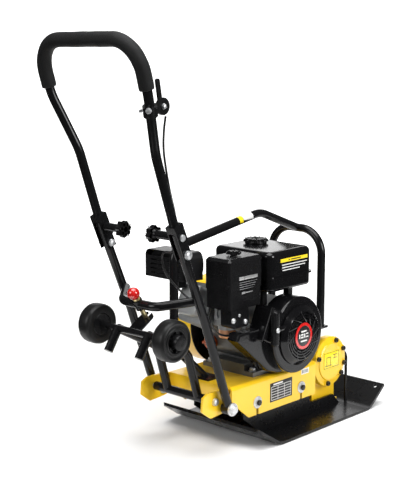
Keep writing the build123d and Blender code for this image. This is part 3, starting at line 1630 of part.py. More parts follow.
pieces = [
    base_plate, plate_ribs, exciter_housing, exciter_covers, exciter_bearings, exciter_shaft,
    exciter_pulley, deck, rubber_buffers, deck_bolts, crankcase, cylinder, cylinder_head,
    crankshaft, oil_cap, engine_bolt_set, fan_shroud, flywheel, recoil_cover, starter_grip,
    fuel_tank, tank_mounts, fuel_cap, air_cleaner_base, air_cleaner_cover, air_filter, wing_nut,
    carburettor, carburettor_bowl, choke_lever, muffler, muffler_shield, clutch_drum, drive_belt,
    belt_guard, guard_back, cage_hoop, cage_bar, cage_riser, rear_brackets, lower_handle,
    bow_brace, latch_pin, latch_ball, handle_bolts, upper_handle, foam_grip, knob_left,
    knob_right, throttle_clamp, throttle_lever, cable_upper, cable_lower, throttle_arm,
    carriage_frame, tyre_left, tyre_right, hub_left, hub_right, labels,
]

os.makedirs("parts", exist_ok=True)
for piece in pieces:
    export_step(piece.part, f"parts/{piece.part.label}.step")
print(len(pieces), "pieces")
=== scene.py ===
"""Finishes, detailed pieces and studio for a forward plate compactor."""

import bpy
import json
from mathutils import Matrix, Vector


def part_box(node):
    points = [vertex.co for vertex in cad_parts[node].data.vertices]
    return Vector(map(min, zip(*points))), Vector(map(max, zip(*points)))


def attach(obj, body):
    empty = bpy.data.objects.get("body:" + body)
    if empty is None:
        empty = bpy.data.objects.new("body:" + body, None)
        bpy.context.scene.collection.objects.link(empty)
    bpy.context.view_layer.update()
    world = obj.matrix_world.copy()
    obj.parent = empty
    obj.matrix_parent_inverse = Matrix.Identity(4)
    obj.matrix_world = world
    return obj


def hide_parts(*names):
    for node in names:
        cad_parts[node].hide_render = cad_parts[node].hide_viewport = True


bl_info = {
    "name": "Plate compactor",
    "version": (1, 0, 0),
    "blender": (4, 5, 0),
    "location": "3D View > Sidebar > Compactor",
    "description": "Builds the finishes, detailed pieces and studio of a plate compactor",
    "category": "Object",
}

import json
from math import atan2, cos, pi, radians, sin

import bmesh
import bpy
from bpy.props import FloatProperty, FloatVectorProperty, IntProperty, PointerProperty
from mathutils import Matrix, Vector, noise

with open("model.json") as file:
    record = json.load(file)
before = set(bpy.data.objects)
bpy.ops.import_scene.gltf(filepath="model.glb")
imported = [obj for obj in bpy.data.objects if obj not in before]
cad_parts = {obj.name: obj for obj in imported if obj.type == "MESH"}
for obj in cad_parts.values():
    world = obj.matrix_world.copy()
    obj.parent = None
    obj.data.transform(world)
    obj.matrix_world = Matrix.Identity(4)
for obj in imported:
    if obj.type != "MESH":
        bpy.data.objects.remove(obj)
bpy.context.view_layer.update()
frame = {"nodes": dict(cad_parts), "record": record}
NODES = frame["nodes"]
JOINTS = {joint["name"]: joint for joint in frame["record"]["behaviour"]["joints"]}
MM = 0.001
RIGHT, LEFT, REAR, UP = Vector((1, 0, 0)), Vector((-1, 0, 0)), Vector((0, -1, 0)), Vector((0, 0, 1))

# Sizes of the detailed pieces in millimetres, and places that the frame doesn't tell.
GROOVE_DEPTH = 9
GROOVE_DRAFT = 0.6
SPOKE_SWEEP = 38
SPOKE_HALF_WIDTH = 1.6
SPOKE_LENGTH_SHARE = 0.62
SPOKE_RISE = 0.4
ROPE_Z = 295
ROPE_EYE = (6.5, 2.6, 14)
BADGE_RING_SHARE = 0.78
BADGE_RING_HEIGHT = 1.5
BADGE_FACE_HEIGHT = 1.1
STROKE_HEIGHT = (0.9, 1.5)
FOIL = 0.5
STROKE = 0.75
TANK_SEAM_REACH = 5
BUFFER_HEAD = (7.5, 6)
BUFFER_HEAD_LIFT = 3.5
EXCITER_BOSS_HEIGHT = 4
EXCITER_COVER_DEPTH = 16
EXCITER_SCREW_INSET = 9
EXCITER_SCREW_ANGLES = (71, 163, -13, -104, -41, 28)
EXCITER_LUG = (9.5, 2.2, 1.2)
FOOT_HEIGHT = 12
FOOT_BOLT_X = (10, 152)
FOOT_BOLT_Y = (114, -10)
FOOT_WASHER = (10, 4, 2, 0.4)
FOOT_HEAD = (8, 7)
ELBOW_SCREWS = ((-298, 327, 7), (-254, 318, 7), (-276, 337, 4))
PIVOT = (-338, 120)
PIVOT_STACK = 10.1
CARRIAGE_PIN_X = 107
CARRIAGE_CAP = (9.6, 7.4, 2)
FOLD_OUTER_X, FOLD_OUTER_CAP = 142, (10.4, 6.8, 2)
FOLD_INNER_X, FOLD_INNER_CAP = 112, (9, 6.6, 2)
HUB_SPOKES = 6
STAR_KNOB_DEPTH = 17
CLAMP_OFFSET = (-2, -36, -8)
CLAMP_SCREW_REACH = 15.5
CLAMP_DIRECTIONS = ((-0.733, -0.68, 0), (0.68, -0.733, 0))
LEVER_FACE_INSET = 4.5
SCREW_DOME = (6.6, 6, 1.5)
GRIP_RIVET = (6.6, 3.4, 0.8)
GRIP_RIVET_Y, GRIP_RIVET_Z, GRIP_RIVET_SINK = 10, 298, 0.6
FERRULE_NUT = (8.4, 3)
FERRULE_OVERLAP = 0.9
BAR_PEAK, BAR_REAR = (0, -75, 562), (0, -397, 508)
BAR_RADIUS, FOIL_RADIUS = 11.05, 11.4
ROD_HALF_WIDTH, ROD_TOP, ROD_FOOT, ROD_GAP = 92, 150, 8, 12
ROD_RADIUS = 4


def pivot(joint, x=None):
    """A joint's place, moved along X if asked."""
    spot = Vector(JOINTS[joint]["pos_m"])
    if x is not None:
        spot.x = x
    return spot


def place(node):
    """Lowest corner, highest corner and middle of a frame node."""
    low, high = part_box(node)
    low, high = Vector(low), Vector(high)
    return low, high, (low + high) / 2


# ---- settings -----------------------------------------------------------------------------------


def colour(name, description, value):
    return FloatVectorProperty(name=name, description=description, default=value, size=3,
                               min=0.0, max=1.0, subtype="COLOR")


def length(name, description, value):
    return FloatProperty(name=name, description=description, default=value, min=0.0,
                         subtype="DISTANCE", unit="LENGTH")


def number(name, description, value, low=0.0, high=100.0):
    return FloatProperty(name=name, description=description, default=value, min=low, max=high)


class CompactorFinishSettings(bpy.types.PropertyGroup):
    """Colours of the machine's paints and mouldings."""

    yellow: colour("Yellow paint", "Deck, exciter, brackets and belt guard", (0.86, 0.53, 0.012))
    black: colour("Black powder coat", "Tubes, base plate and ribs", (0.006, 0.006, 0.0065))
    enamel: colour("Black enamel", "Engine shrouds and fuel tank", (0.004, 0.004, 0.0045))
    plastic: colour("Black plastic", "Air cleaner, knobs and hubs", (0.006, 0.006, 0.0065))
    foam: colour("Foam", "Sleeve of the hand grip", (0.006, 0.006, 0.0062))
    rubber: colour("Rubber", "Wheels, buffers and belt", (0.005, 0.005, 0.005))
    aluminium: colour("Cast aluminium", "Crankcase, cylinder and head", (0.45, 0.46, 0.46))
    zinc: colour("Bright zinc", "Bolts and washers", (0.66, 0.67, 0.68))
    red: colour("Red knob", "Ball on the latch pin and ring of the badge", (0.62, 0.012, 0.01))
    copper: colour("Copper plate", "Carburettor bowl", (0.72, 0.36, 0.2))
    grain: number("Grain", "Strength of the small surface relief", 1.0, 0.0, 3.0)


class CompactorEngineSettings(bpy.types.PropertyGroup):
    """Sizes of the recoil cover and its badge."""

    badge_radius: length("Badge radius", "Outside of the red ring", 0.034)
    recoil_slope: length("Slope", "Width of the cover's sloping rim", 0.013)
    recoil_ribs: IntProperty(name="Ribs", description="Concentric ribs", default=4, min=1, max=12)
    recoil_spokes: IntProperty(name="Spokes", description="Swept spokes", default=12, min=3, max=40)


class CompactorSleeveSettings(bpy.types.PropertyGroup):
    """Skin of the foam sleeve."""

    voxel: length("Voxel", "Size of the sleeve's faces", 0.0025)
    smoothing: IntProperty(name="Smoothing", description="Smoothing passes", default=6, min=0)
    swell: length("Swell", "Growth of the soft skin", 0.0006)
    wave: length("Wave", "Height of the uneven skin", 0.0006)
    frequency: number("Frequency", "Waves of the skin in a metre", 38.0, 1.0, 500.0)


class CompactorStudioSettings(bpy.types.PropertyGroup):
    """Camera, floor and lights."""

    azimuth: number("Azimuth", "Camera direction round the machine, in degrees", 42.89, 0, 360)
    pitch: number("Pitch", "Downward tilt of the camera, in degrees", 9.52, 0, 90)
    lens: number("Lens", "Focal length in millimetres on a 36 mm sensor", 84.3, 10, 400)
    eye: FloatVectorProperty(name="Eye", description="Place of the camera", size=3,
                             default=(1.8685, -2.3012, 0.9747), subtype="TRANSLATION",
                             unit="LENGTH")
    cove_near: length("Cove near", "Width of the paper's near edge", 1.7)
    cove_width: length("Cove width", "Width of the paper's wall", 4.2)
    cove_front: length("Cove front", "Paper between the machine's middle and its near edge", 0.95)
    cove_back: length("Cove back", "Flat paper behind the machine's middle", 5.0)
    cove_sweep: length("Cove sweep", "Radius between the floor and the wall", 1.5)
    glow_start: length("Glow start", "Distance at which the paper begins to glow", 0.9)
    glow_end: length("Glow end", "Distance at which the paper glows fully", 2.4)
    paper_glow: number("Paper glow", "Strength of the glow", 1.0, 0, 10)
    ambience: number("Ambience", "Strength of the light from all round", 0.07, 0, 10)
    key_power: number("Key power", "Lamp overhead, in watts", 170.0, 0, 2000)
    right_power: number("Right power", "Lamp on the right, in watts", 110.0, 0, 2000)
    rear_power: number("Rear power", "Lamp behind the handle, in watts", 45.0, 0, 2000)


# ---- finishes -----------------------------------------------------------------------------------


class Wire:
    """A node's output that takes part in plain arithmetic."""

    def __init__(self, finish, socket):
        self.finish = finish
        self.socket = socket

    def _sum(self, operation, first, second):
        return self.finish.add("Math", {"operation": operation}, i0=first, i1=second)

    def __add__(self, other):
        return self._sum("ADD", self, other)

    def __radd__(self, other):
        return self._sum("ADD", other, self)

    def __sub__(self, other):
        return self._sum("SUBTRACT", self, other)

    def __rsub__(self, other):
        return self._sum("SUBTRACT", other, self)

    def __mul__(self, other):
        return self._sum("MULTIPLY", self, other)

    def __rmul__(self, other):
        return self._sum("MULTIPLY", other, self)


class Finish:
    """A material with one Principled shader, built up node by node."""

    def __init__(self, name, **constants):
        self.material = bpy.data.materials.new(name)
        self.material.use_nodes = True
        self.tree = self.material.node_tree
        self.shader = self.tree.nodes["Principled BSDF"]
        for key, value in constants.items():
            self.set(key, value)

    def set(self, key, value):
        """Give one of the shader's inputs a value or a link."""
        self.feed(self.shader.inputs[key.replace("_", " ")], value)

    def feed(self, socket, value):
        if isinstance(value, Wire):
            self.tree.links.new(value.socket, socket)
        elif socket.type == "RGBA" and len(value) == 3:
            socket.default_value = (*value, 1.0)
        else:
            socket.default_value = value

    def add(self, kind, settings=None, stops=None, out=0, **sockets):
        """Add any node: its settings first, then the values or links of its inputs."""
        node = self.tree.nodes.new("ShaderNode" + kind)
        for key, value in (settings or {}).items():
            setattr(node, key, value)
        if stops:
            ramp = node.color_ramp.elements
            while len(ramp) < len(stops):
                ramp.new(0.5)
            for element, (position, shade) in zip(ramp, stops):
                element.position = position
                element.color = (*shade, 1.0) if isinstance(shade, tuple) else (shade,) * 3 + (1.0,)
        for key, value in sockets.items():
            name = int(key[1:]) if key[1:].isdigit() else key.replace("_", " ")
            self.feed(node.inputs[name], value)
        return Wire(self, node.outputs[out])

    def coordinates(self):
        return self.add("TexCoord", out="Object")

    def noise(self, scale, detail=4.0, roughness=0.55, coordinates=None):
        return self.add("TexNoise", Vector=coordinates or self.coordinates(), Scale=scale,
                        Detail=detail, Roughness=roughness)

    def mix(self, amount, first, second):
        """Blend two colours."""
        return self.add("Mix", {"data_type": "RGBA"}, out=2, i0=amount, i6=first, i7=second)

    def relief(self, height, strength, distance):
        """Raise the surface by a height in metres times the distance."""
        self.set("Normal", self.add("Bump", Height=height, Strength=strength, Distance=distance))


def shade(tint, factor):
    """A lighter or darker version of a colour."""
    return tuple(min(1.0, channel * factor) for channel in tint)


def painted(name, tint, roughness, peel, grain, spread=0.12, coat=0.0, metallic=0.0,
            specular=0.5):
    """Paint, powder coat or a moulding: mottled colour, uneven gloss and a small relief."""
    finish = Finish(name, Metallic=metallic, Coat_Weight=coat, Coat_Roughness=0.08,
                    Specular_IOR_Level=specular)
    clouds = finish.noise(9.0, 3.0)
    finish.set("Base_Color", finish.mix(clouds, shade(tint, 1 - spread), shade(tint, 1 + spread)))
    smears = finish.noise(34.0, 5.0, 0.7)
    finish.set("Roughness", roughness - 0.05 + 0.1 * smears)
    finish.relief(finish.noise(peel, 2.0, 0.4), 0.35 * grain, 0.0006)
    return finish


def cast_metal(name, tint, grain):
    """Sand or die cast metal with a skin of small pits and darker stains."""
    finish = Finish(name, Metallic=0.85)
    pits = finish.noise(420.0, 4.0, 0.7)
    stains = finish.noise(14.0, 5.0, 0.65)
    finish.set("Base_Color", finish.mix(stains, shade(tint, 0.62), shade(tint, 1.15)))
    finish.set("Roughness", 0.36 + 0.26 * pits)
    finish.relief(pits, 0.6 * grain, 0.0008)
    return finish


def plated(name, tint, roughness, grain):
    """Zinc or copper plate with faint spangle."""
    finish = Finish(name, Metallic=1.0)
    cells = finish.add("TexVoronoi", out="Color", Vector=finish.coordinates(), Scale=240.0)
    spangle = finish.add("RGBToBW", Color=cells)
    finish.set("Base_Color", finish.mix(spangle, shade(tint, 0.86), shade(tint, 1.1)))
    finish.set("Roughness", roughness + 0.12 * finish.noise(60.0, 4.0))
    finish.relief(finish.noise(700.0, 2.0), 0.2 * grain, 0.0003)
    return finish


def ground_steel(name, tint, grain):
    """Turned steel with fine rings across X."""
    finish = Finish(name, Metallic=1.0)
    stretch = finish.add("Mapping", Vector=finish.coordinates(), Scale=(900.0, 12.0, 12.0))
    rings = finish.noise(1.0, 3.0, 0.6, stretch)
    finish.set("Base_Color", finish.mix(rings, shade(tint, 0.8), shade(tint, 1.1)))
    finish.set("Roughness", 0.22 + 0.2 * rings)
    finish.relief(rings, 0.25 * grain, 0.0003)
    return finish


def foam_rubber(name, tint, grain):
    """Closed cell foam: matt, with small open pores."""
    finish = Finish(name, Specular_IOR_Level=0.22)
    pores = finish.add("TexVoronoi", out="Distance", Vector=finish.coordinates(), Scale=620.0)
    clouds = finish.noise(26.0, 4.0)
    finish.set("Base_Color", finish.mix(clouds, shade(tint, 0.75), shade(tint, 1.35)))
    finish.set("Roughness", 0.5 + 0.16 * clouds)
    finish.relief(pores + 0.5 * clouds, 0.55 * grain, 0.0012)
    return finish


def moulded_rubber(name, tint, grain):
    """Solid rubber with a dull bloom."""
    finish = Finish(name, Specular_IOR_Level=0.2, Coat_Weight=0.1, Coat_Roughness=0.2)
    bloom = finish.noise(22.0, 5.0, 0.7)
    finish.set("Base_Color", finish.mix(bloom, shade(tint, 0.7), shade(tint, 2.0)))
    finish.set("Roughness", 0.32 + 0.2 * bloom)
    finish.relief(finish.noise(520.0, 3.0), 0.4 * grain, 0.0006)
    return finish


def make_finishes(values):
    """All finishes of the machine by name."""
    grain = values.grain
    return {
        "yellow": painted("yellow_paint", values.yellow, 0.3, 260.0, grain, spread=0.05, coat=0.35),
        "black": painted("black_powder_coat", values.black, 0.2, 420.0, 0.6 * grain, spread=0.15,
                         coat=0.12, specular=0.2),
        "plate": painted("plate_paint", values.black, 0.28, 320.0, grain, spread=0.2, coat=0.08,
                         specular=0.25),
        "enamel": painted("black_enamel", values.enamel, 0.14, 180.0, 0.4 * grain, spread=0.1,
                          coat=0.2, specular=0.25),
        "plastic": painted("black_moulding", values.plastic, 0.26, 900.0, 0.7 * grain, spread=0.1,
                           specular=0.22),
        "sheath": painted("cable_sheath", values.plastic, 0.38, 500.0, grain, spread=0.1),
        "muffler": painted("muffler_black", shade(values.black, 1.2), 0.35, 500.0, grain,
                           spread=0.3, specular=0.35),
        "aluminium": cast_metal("cast_aluminium", values.aluminium, grain),
        # Cast aluminium at half brightness for the crankcase: painted shade and painted dark
        # reflection, not a different metal.
        "shaded_aluminium": cast_metal("aluminium_painted_shade", shade(values.aluminium, 0.5), grain),
        "iron": cast_metal("cast_iron", shade(values.aluminium, 0.35), grain),
        "zinc": plated("bright_zinc", values.zinc, 0.38, grain),
        "copper": plated("copper_plate", values.copper, 0.25, grain),
        "yellow_zinc": plated("yellow_zinc", (0.72, 0.6, 0.32), 0.24, grain),
        "steel": ground_steel("ground_steel", (0.55, 0.55, 0.56), grain),
        "foam": foam_rubber("foam_sleeve", values.foam, grain),
        "rubber": moulded_rubber("solid_rubber", values.rubber, grain),
        "red": painted("gloss_red", values.red, 0.1, 60.0, 0.2 * grain, spread=0.04, coat=1.0),
        "orange": painted("orange_cap", (0.5, 0.09, 0.015), 0.3, 300.0, grain, spread=0.15,
                          coat=0.3),
        "white": painted("white_foil", (0.75, 0.75, 0.73), 0.3, 300.0, 0.3 * grain, spread=0.03,
                         coat=0.2),
        "silver": painted("silver_foil", (0.6, 0.6, 0.6), 0.28, 300.0, 0.3 * grain, spread=0.05,
                          coat=0.2, metallic=0.7),
        "print": painted("black_print", (0.012, 0.012, 0.012), 0.35, 300.0, 0.2 * grain,
                         spread=0.05),
        "sign": painted("yellow_foil", (0.9, 0.68, 0.02), 0.28, 300.0, 0.3 * grain, spread=0.03,
                        coat=0.3),
    }


FINISH_OF_NODE = {
    "yellow": ("exciter_housing", "exciter_covers", "deck", "rear_brackets", "belt_guard"),
    "plate": ("base_plate", "plate_ribs", "guard_back"),
    "black": ("cage_hoop", "cage_bar", "cage_riser", "lower_handle", "bow_brace", "upper_handle",
              "carriage_frame"),
    "enamel": ("fan_shroud", "recoil_cover", "fuel_tank"),
    "plastic": ("starter_grip", "fuel_cap", "air_cleaner_base", "air_cleaner_cover", "wing_nut",
                "knob_left", "knob_right", "throttle_clamp", "throttle_lever", "hub_left",
                "hub_right"),
    "sheath": ("cable_upper", "cable_lower"),
    "muffler": ("muffler", "muffler_shield"),
    "aluminium": ("cylinder", "cylinder_head", "carburettor"),
    # The crankcase takes the aluminium darkened by painted shade.
    "shaded_aluminium": ("crankcase",),
    "iron": ("exciter_pulley", "flywheel", "clutch_drum"),
    "zinc": ("deck_bolts", "engine_bolts", "handle_bolts", "choke_lever", "throttle_arm"),
    "copper": ("carburettor_bowl",),
    "yellow_zinc": ("latch_pin",),
    "steel": ("exciter_bearings", "exciter_shaft", "crankshaft"),
    "foam": ("foam_grip", "air_filter"),
    "rubber": ("rubber_buffers", "tank_mounts", "drive_belt", "tyre_left", "tyre_right"),
    "red": ("latch_ball",),
    "orange": ("oil_cap",),
    "white": ("labels",),
}

FINISHES = {}


# ---- mesh helpers -------------------------------------------------------------------------------
# Local shapes are drawn in millimetres about the origin and placed in metres by a matrix.


def lift(height):
    """Matrix that moves along a seat's own axis by millimetres."""
    return Matrix.Translation((0, 0, height * MM))


def facing(direction, origin=(0, 0, 0)):
    """Matrix that turns +Z to a direction and moves it to an origin."""
    turn = UP.rotation_difference(Vector(direction)).to_matrix().to_4x4()
    return Matrix.Translation(Vector(origin)) @ turn


def finish_piece(name, bm, finish, body, replaces=(), crease=32):
    """Turn a bmesh into a piece that rides on a body and has its finish."""
    mesh = bpy.data.meshes.new(name)
    bm.to_mesh(mesh)
    bm.free()
    mesh.shade_smooth()
    mesh.set_sharp_from_angle(angle=radians(crease))
    piece = bpy.data.objects.new(name, mesh)
    bpy.context.scene.collection.objects.link(piece)
    mesh.materials.append(FINISHES[finish].material)
    if replaces:
        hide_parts(*replaces)
    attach(piece, body)
    return piece


def spun(bm, outline, matrix, steps=48):
    """Spin an outline of (radius, height) points in millimetres about Z and place it."""
    own = bmesh.new()
    start = [own.verts.new((radius * MM, 0, height * MM)) for radius, height in outline]
    edges = [own.edges.new(pair) for pair in zip(start, start[1:])]
    bmesh.ops.spin(own, geom=start + edges, cent=(0, 0, 0), axis=(0, 0, 1), angle=2 * pi,
                   steps=steps, use_merge=True)
    bmesh.ops.remove_doubles(own, verts=own.verts, dist=1e-6)
    bmesh.ops.recalc_face_normals(own, faces=own.faces)
    join(bm, own, matrix)


def join(bm, own, matrix):
    """Add a finished bmesh to another one, placed by a matrix."""
    bmesh.ops.transform(own, matrix=matrix, verts=own.verts)
    mesh = bpy.data.meshes.new("step")
    own.to_mesh(mesh)
    own.free()
    bm.from_mesh(mesh)
    bpy.data.meshes.remove(mesh)


def button(radius, height, edge):
    """Outline of a solid disc with softened rims, from its axis to its axis."""
    return [(0, 0), (radius, 0), (radius, height - edge), (radius - 0.3 * edge, height - 0.3 * edge),
            (radius - edge, height), (0, height)]


def dome(radius, height, rim):
    """Outline of a round bolt head over a short rim."""
    outline = [(0, 0), (radius, 0)]
    outline += [(radius * cos(radians(a)), rim + (height - rim) * sin(radians(a)))
                for a in range(0, 90, 15)]
    return outline + [(0, height)]


def ring(outer, inner, height, edge):
    """Outline of a flat ring with softened rims."""
    return [(inner, 0), (outer - edge, 0), (outer, edge), (outer, height - edge),
            (outer - edge, height), (inner + edge, height), (inner, height - edge), (inner, 0)]


def hex_head(bm, matrix, radius, height):
    """A hexagonal head with softened edges."""
    own = bmesh.new()
    bmesh.ops.create_cone(own, cap_ends=True, segments=6, radius1=radius * MM, radius2=radius * MM,
                          depth=height * MM, matrix=lift(height / 2))
    bmesh.ops.bevel(own, geom=own.edges, offset=0.1 * radius * MM, segments=2, profile=0.5,
                    affect="EDGES", material=-1)
    join(bm, own, matrix)


def slab(bm, low, high, edge, matrix=Matrix.Identity(4)):
    """A block between two corners in millimetres, with softened edges."""
    low, high = Vector(low) * MM, Vector(high) * MM
    own = bmesh.new()
    bmesh.ops.create_cube(own, size=1, matrix=Matrix.Translation((low + high) / 2)
                          @ Matrix.Diagonal((*(high - low), 1)))
    bmesh.ops.bevel(own, geom=own.edges, offset=edge * MM, segments=2, profile=0.5,
                    affect="EDGES", material=-1)
    join(bm, own, matrix)


def lobed(bm, radius, depth, lobes, height, matrix):
    """A hand knob whose rim waves in and out, with a soft top edge and a dished middle."""
    own = bmesh.new()
    made = bmesh.ops.create_circle(own, cap_ends=True, segments=12 * lobes, radius=1)
    for vert in made["verts"]:
        turn = atan2(vert.co.y, vert.co.x)
        vert.co *= (radius - depth * (0.5 - 0.5 * cos(lobes * turn))) * MM
    up = own.faces[:]
    for inset, rise in ((0.0, 0.7 * height), (0.12 * radius, 0.3 * height), (0.3 * radius, 0.0),
                        (0.04 * radius, -0.12 * height)):
        if inset:
            bmesh.ops.inset_region(own, faces=up, thickness=inset * MM, use_even_offset=True)
        if rise:
            made = bmesh.ops.extrude_face_region(own, geom=up)
            old, up = up, [item for item in made["geom"] if isinstance(item, bmesh.types.BMFace)]
            bmesh.ops.delete(own, geom=old, context="FACES_ONLY")
            bmesh.ops.translate(own, verts=list({v for f in up for v in f.verts}),
                                vec=(0, 0, rise * MM))
    bmesh.ops.recalc_face_normals(own, faces=own.faces)
    join(bm, own, matrix)


# ---- operators ----------------------------------------------------------------------------------


class COMPACTOR_OT_finishes(bpy.types.Operator):
    """Make every finish and give it to the frame's own pieces"""

    bl_idname = "compactor.finishes"
    bl_label = "Finishes"

    def execute(self, context):
        FINISHES.update(make_finishes(context.scene.compactor_finish))
        for finish, nodes in FINISH_OF_NODE.items():
            for node in nodes:
                for slot in NODES[node].material_slots:
                    slot.material = FINISHES[finish].material
        return {"FINISHED"}


class COMPACTOR_OT_recoil(bpy.types.Operator):
    """Recoil starter cover with concentric ribs, swept spokes and the rope's eye"""

    bl_idname = "compactor.recoil"
    bl_label = "Recoil cover"

    def execute(self, context):
        values = context.scene.compactor_engine
        low, high, _ = place("recoil_cover")
        crank = pivot("crank_spin", low.x)
        seat = facing(RIGHT, crank)
        rim = (high.z - crank.z) / MM
        depth = (high.x - low.x) / MM
        face = rim - values.recoil_slope / MM
        outline = [(0, 1), (rim - 1, 0), (rim, 1.5), (rim, 4), (rim - 3, 6.5), (face + 2, depth - 1.5),
                   (face, depth)]
        floor = depth - GROOVE_DEPTH
        pitch = (face - values.badge_radius / MM - 2) / values.recoil_ribs
        for rib in range(values.recoil_ribs):
            outer = face - rib * pitch
            groove = outer - 0.5 * pitch
            inner = outer - pitch
            outline += [(groove, depth), (groove - 0.4, depth - 1), (groove - GROOVE_DRAFT, floor),
                        (inner + GROOVE_DRAFT, floor), (inner + 0.4, depth - 1), (inner, depth)]
        outline.append((0, depth))
        bm = bmesh.new()
        spun(bm, outline, seat, 96)
        middle_ring = 0.5 * (face + values.badge_radius / MM)
        half = SPOKE_LENGTH_SHARE * (face - values.badge_radius / MM)
        for spoke in range(values.recoil_spokes):
            turn = Matrix.Rotation(2 * pi * spoke / values.recoil_spokes, 4, "Z")
            sweep = Matrix.Rotation(radians(SPOKE_SWEEP), 4, "Z")
            spot = Matrix.Translation((middle_ring * MM, 0, 0))
            slab(bm, (-half, -SPOKE_HALF_WIDTH, floor), (half, SPOKE_HALF_WIDTH, depth + SPOKE_RISE),
                 0.5, seat @ turn @ spot @ sweep)
        rope = Vector((place("starter_grip")[0].x + 0.005, low.y + 0.012, ROPE_Z * MM))
        spun(bm, ring(*ROPE_EYE, 1.2), facing(REAR, rope))
        finish_piece("recoil_shell", bm, "enamel", "machine", ("recoil_cover",))
        return {"FINISHED"}


class COMPACTOR_OT_badge(bpy.types.Operator):
    """Round badge on the recoil cover: a red ring, a black face and plain white strokes"""

    bl_idname = "compactor.badge"
    bl_label = "Badge"

    def execute(self, context):
        radius = context.scene.compactor_engine.badge_radius / MM
        seat = facing(RIGHT, pivot("crank_spin", place("recoil_cover")[1].x))
        upright = seat @ Matrix.Rotation(pi / 2, 4, "Z")
        bm = bmesh.new()
        spun(bm, ring(radius, BADGE_RING_SHARE * radius, BADGE_RING_HEIGHT, 0.4), seat, 72)
        finish_piece("badge_ring", bm, "red", "machine")
        bm = bmesh.new()
        spun(bm, button(0.79 * radius, BADGE_FACE_HEIGHT, 0.2), seat, 72)
        finish_piece("badge_face", bm, "print", "machine", ("labels",))
        bm = bmesh.new()
        for low, high in (((-11, 10), (11, 14)), ((-19, -5), (-15, 6)), ((-12, -5), (-2, -1)),
                          ((-12, 2), (-2, 6)), ((1, -5), (5, 6)), ((8, -5), (18, -2)),
                          ((8, 3), (18, 6)), ((-13, -15), (13, -11))):
            slab(bm, (*low, STROKE_HEIGHT[0]), (*high, STROKE_HEIGHT[1]), 0.2, upright)
        finish_piece("badge_strokes", bm, "white", "machine")
        return {"FINISHED"}


class COMPACTOR_OT_plates(bpy.types.Operator):
    """Rating plate, stickers and the printed fields on tank and air cleaner"""

    bl_idname = "compactor.plates"
    bl_label = "Plates"

    def field(self, name, x, y, z, finish):
        """One flat rectangle on a right-hand face, given by its limits in millimetres."""
        bm = bmesh.new()
        slab(bm, (x / MM, y[0], z[0]), (x / MM + FOIL, y[1], z[1]), 0.15)
        finish_piece(name, bm, finish, "machine")

    def strokes(self, name, x, boxes, finish):
        """Several thin rectangles of one colour."""
        bm = bmesh.new()
        for y, z in boxes:
            slab(bm, (x / MM, y[0], z[0]), (x / MM + STROKE, y[1], z[1]), 0.1)
        finish_piece(name, bm, finish, "machine")

    def execute(self, context):
        deck = place("deck")[1].x
        self.field("rating_plate", deck, (-163, -73), (90, 140), "print")
        rows = [((-158, -78), (z, z + 1.3)) for z in (94, 101, 108, 115, 122, 129)]
        columns = [((y, y + 1.3), (94, 130)) for y in (-158, -132, -106, -79.3)]
        self.strokes("rating_lines", deck, rows + columns + [((-150, -112), (133, 137))], "white")
        self.field("small_label", deck, (-35, -3), (136, 151), "white")
        bars = [((y, y + 2.6), (139, 148)) for y in (-31, -25.5, -20, -14.5, -9)]
        self.strokes("small_label_bars", deck, bars, "print")
        boss = place("exciter_covers")[1].x
        self.field("exciter_sign", boss, (77, 147), (122, 169), "sign")
        self.strokes("exciter_sign_lines", boss, (
            ((79, 145), (124, 125.2)), ((79, 145), (165.8, 167)), ((79, 80.2), (124, 167)),
            ((143.8, 145), (124, 167)), ((84, 114), (130, 131.8)), ((90, 91.8), (130, 154)),
            ((107, 108.8), (130, 154)), ((90, 108.8), (153, 154.8)), ((119, 137), (157, 158.6)),
            ((119, 137), (148, 149.6)), ((126, 127.6), (148, 158.6))), "print")
        side = place("air_cleaner_cover")[1].x
        self.field("cleaner_bar", side, (-277, -208), (424, 432), "silver")
        self.strokes("cleaner_lines", side,
                     [((-275, -210 - 4 * i), (417 - 5.5 * i, 418.4 - 5.5 * i)) for i in range(4)],
                     "steel")
        self.strokes("cleaner_mark", side, (((-267, -254), (389, 394)), ((-252, -226), (390, 392.5))),
                     "silver")
        tank = place("fuel_tank")[1].x - TANK_SEAM_REACH * MM
        self.field("tank_bar", tank, (-130, -20), (449, 458), "sign")
        self.strokes("tank_bar_lines", tank, (((-98, -92), (452, 455)), ((-88, -48), (452, 455))),
                     "print")
        self.strokes("tank_lines", tank, (((-124, -22), (441, 443.4)), ((-124, -30), (434, 436.4)),
                                          ((-122, -52), (427, 429.4))), "white")
        return {"FINISHED"}


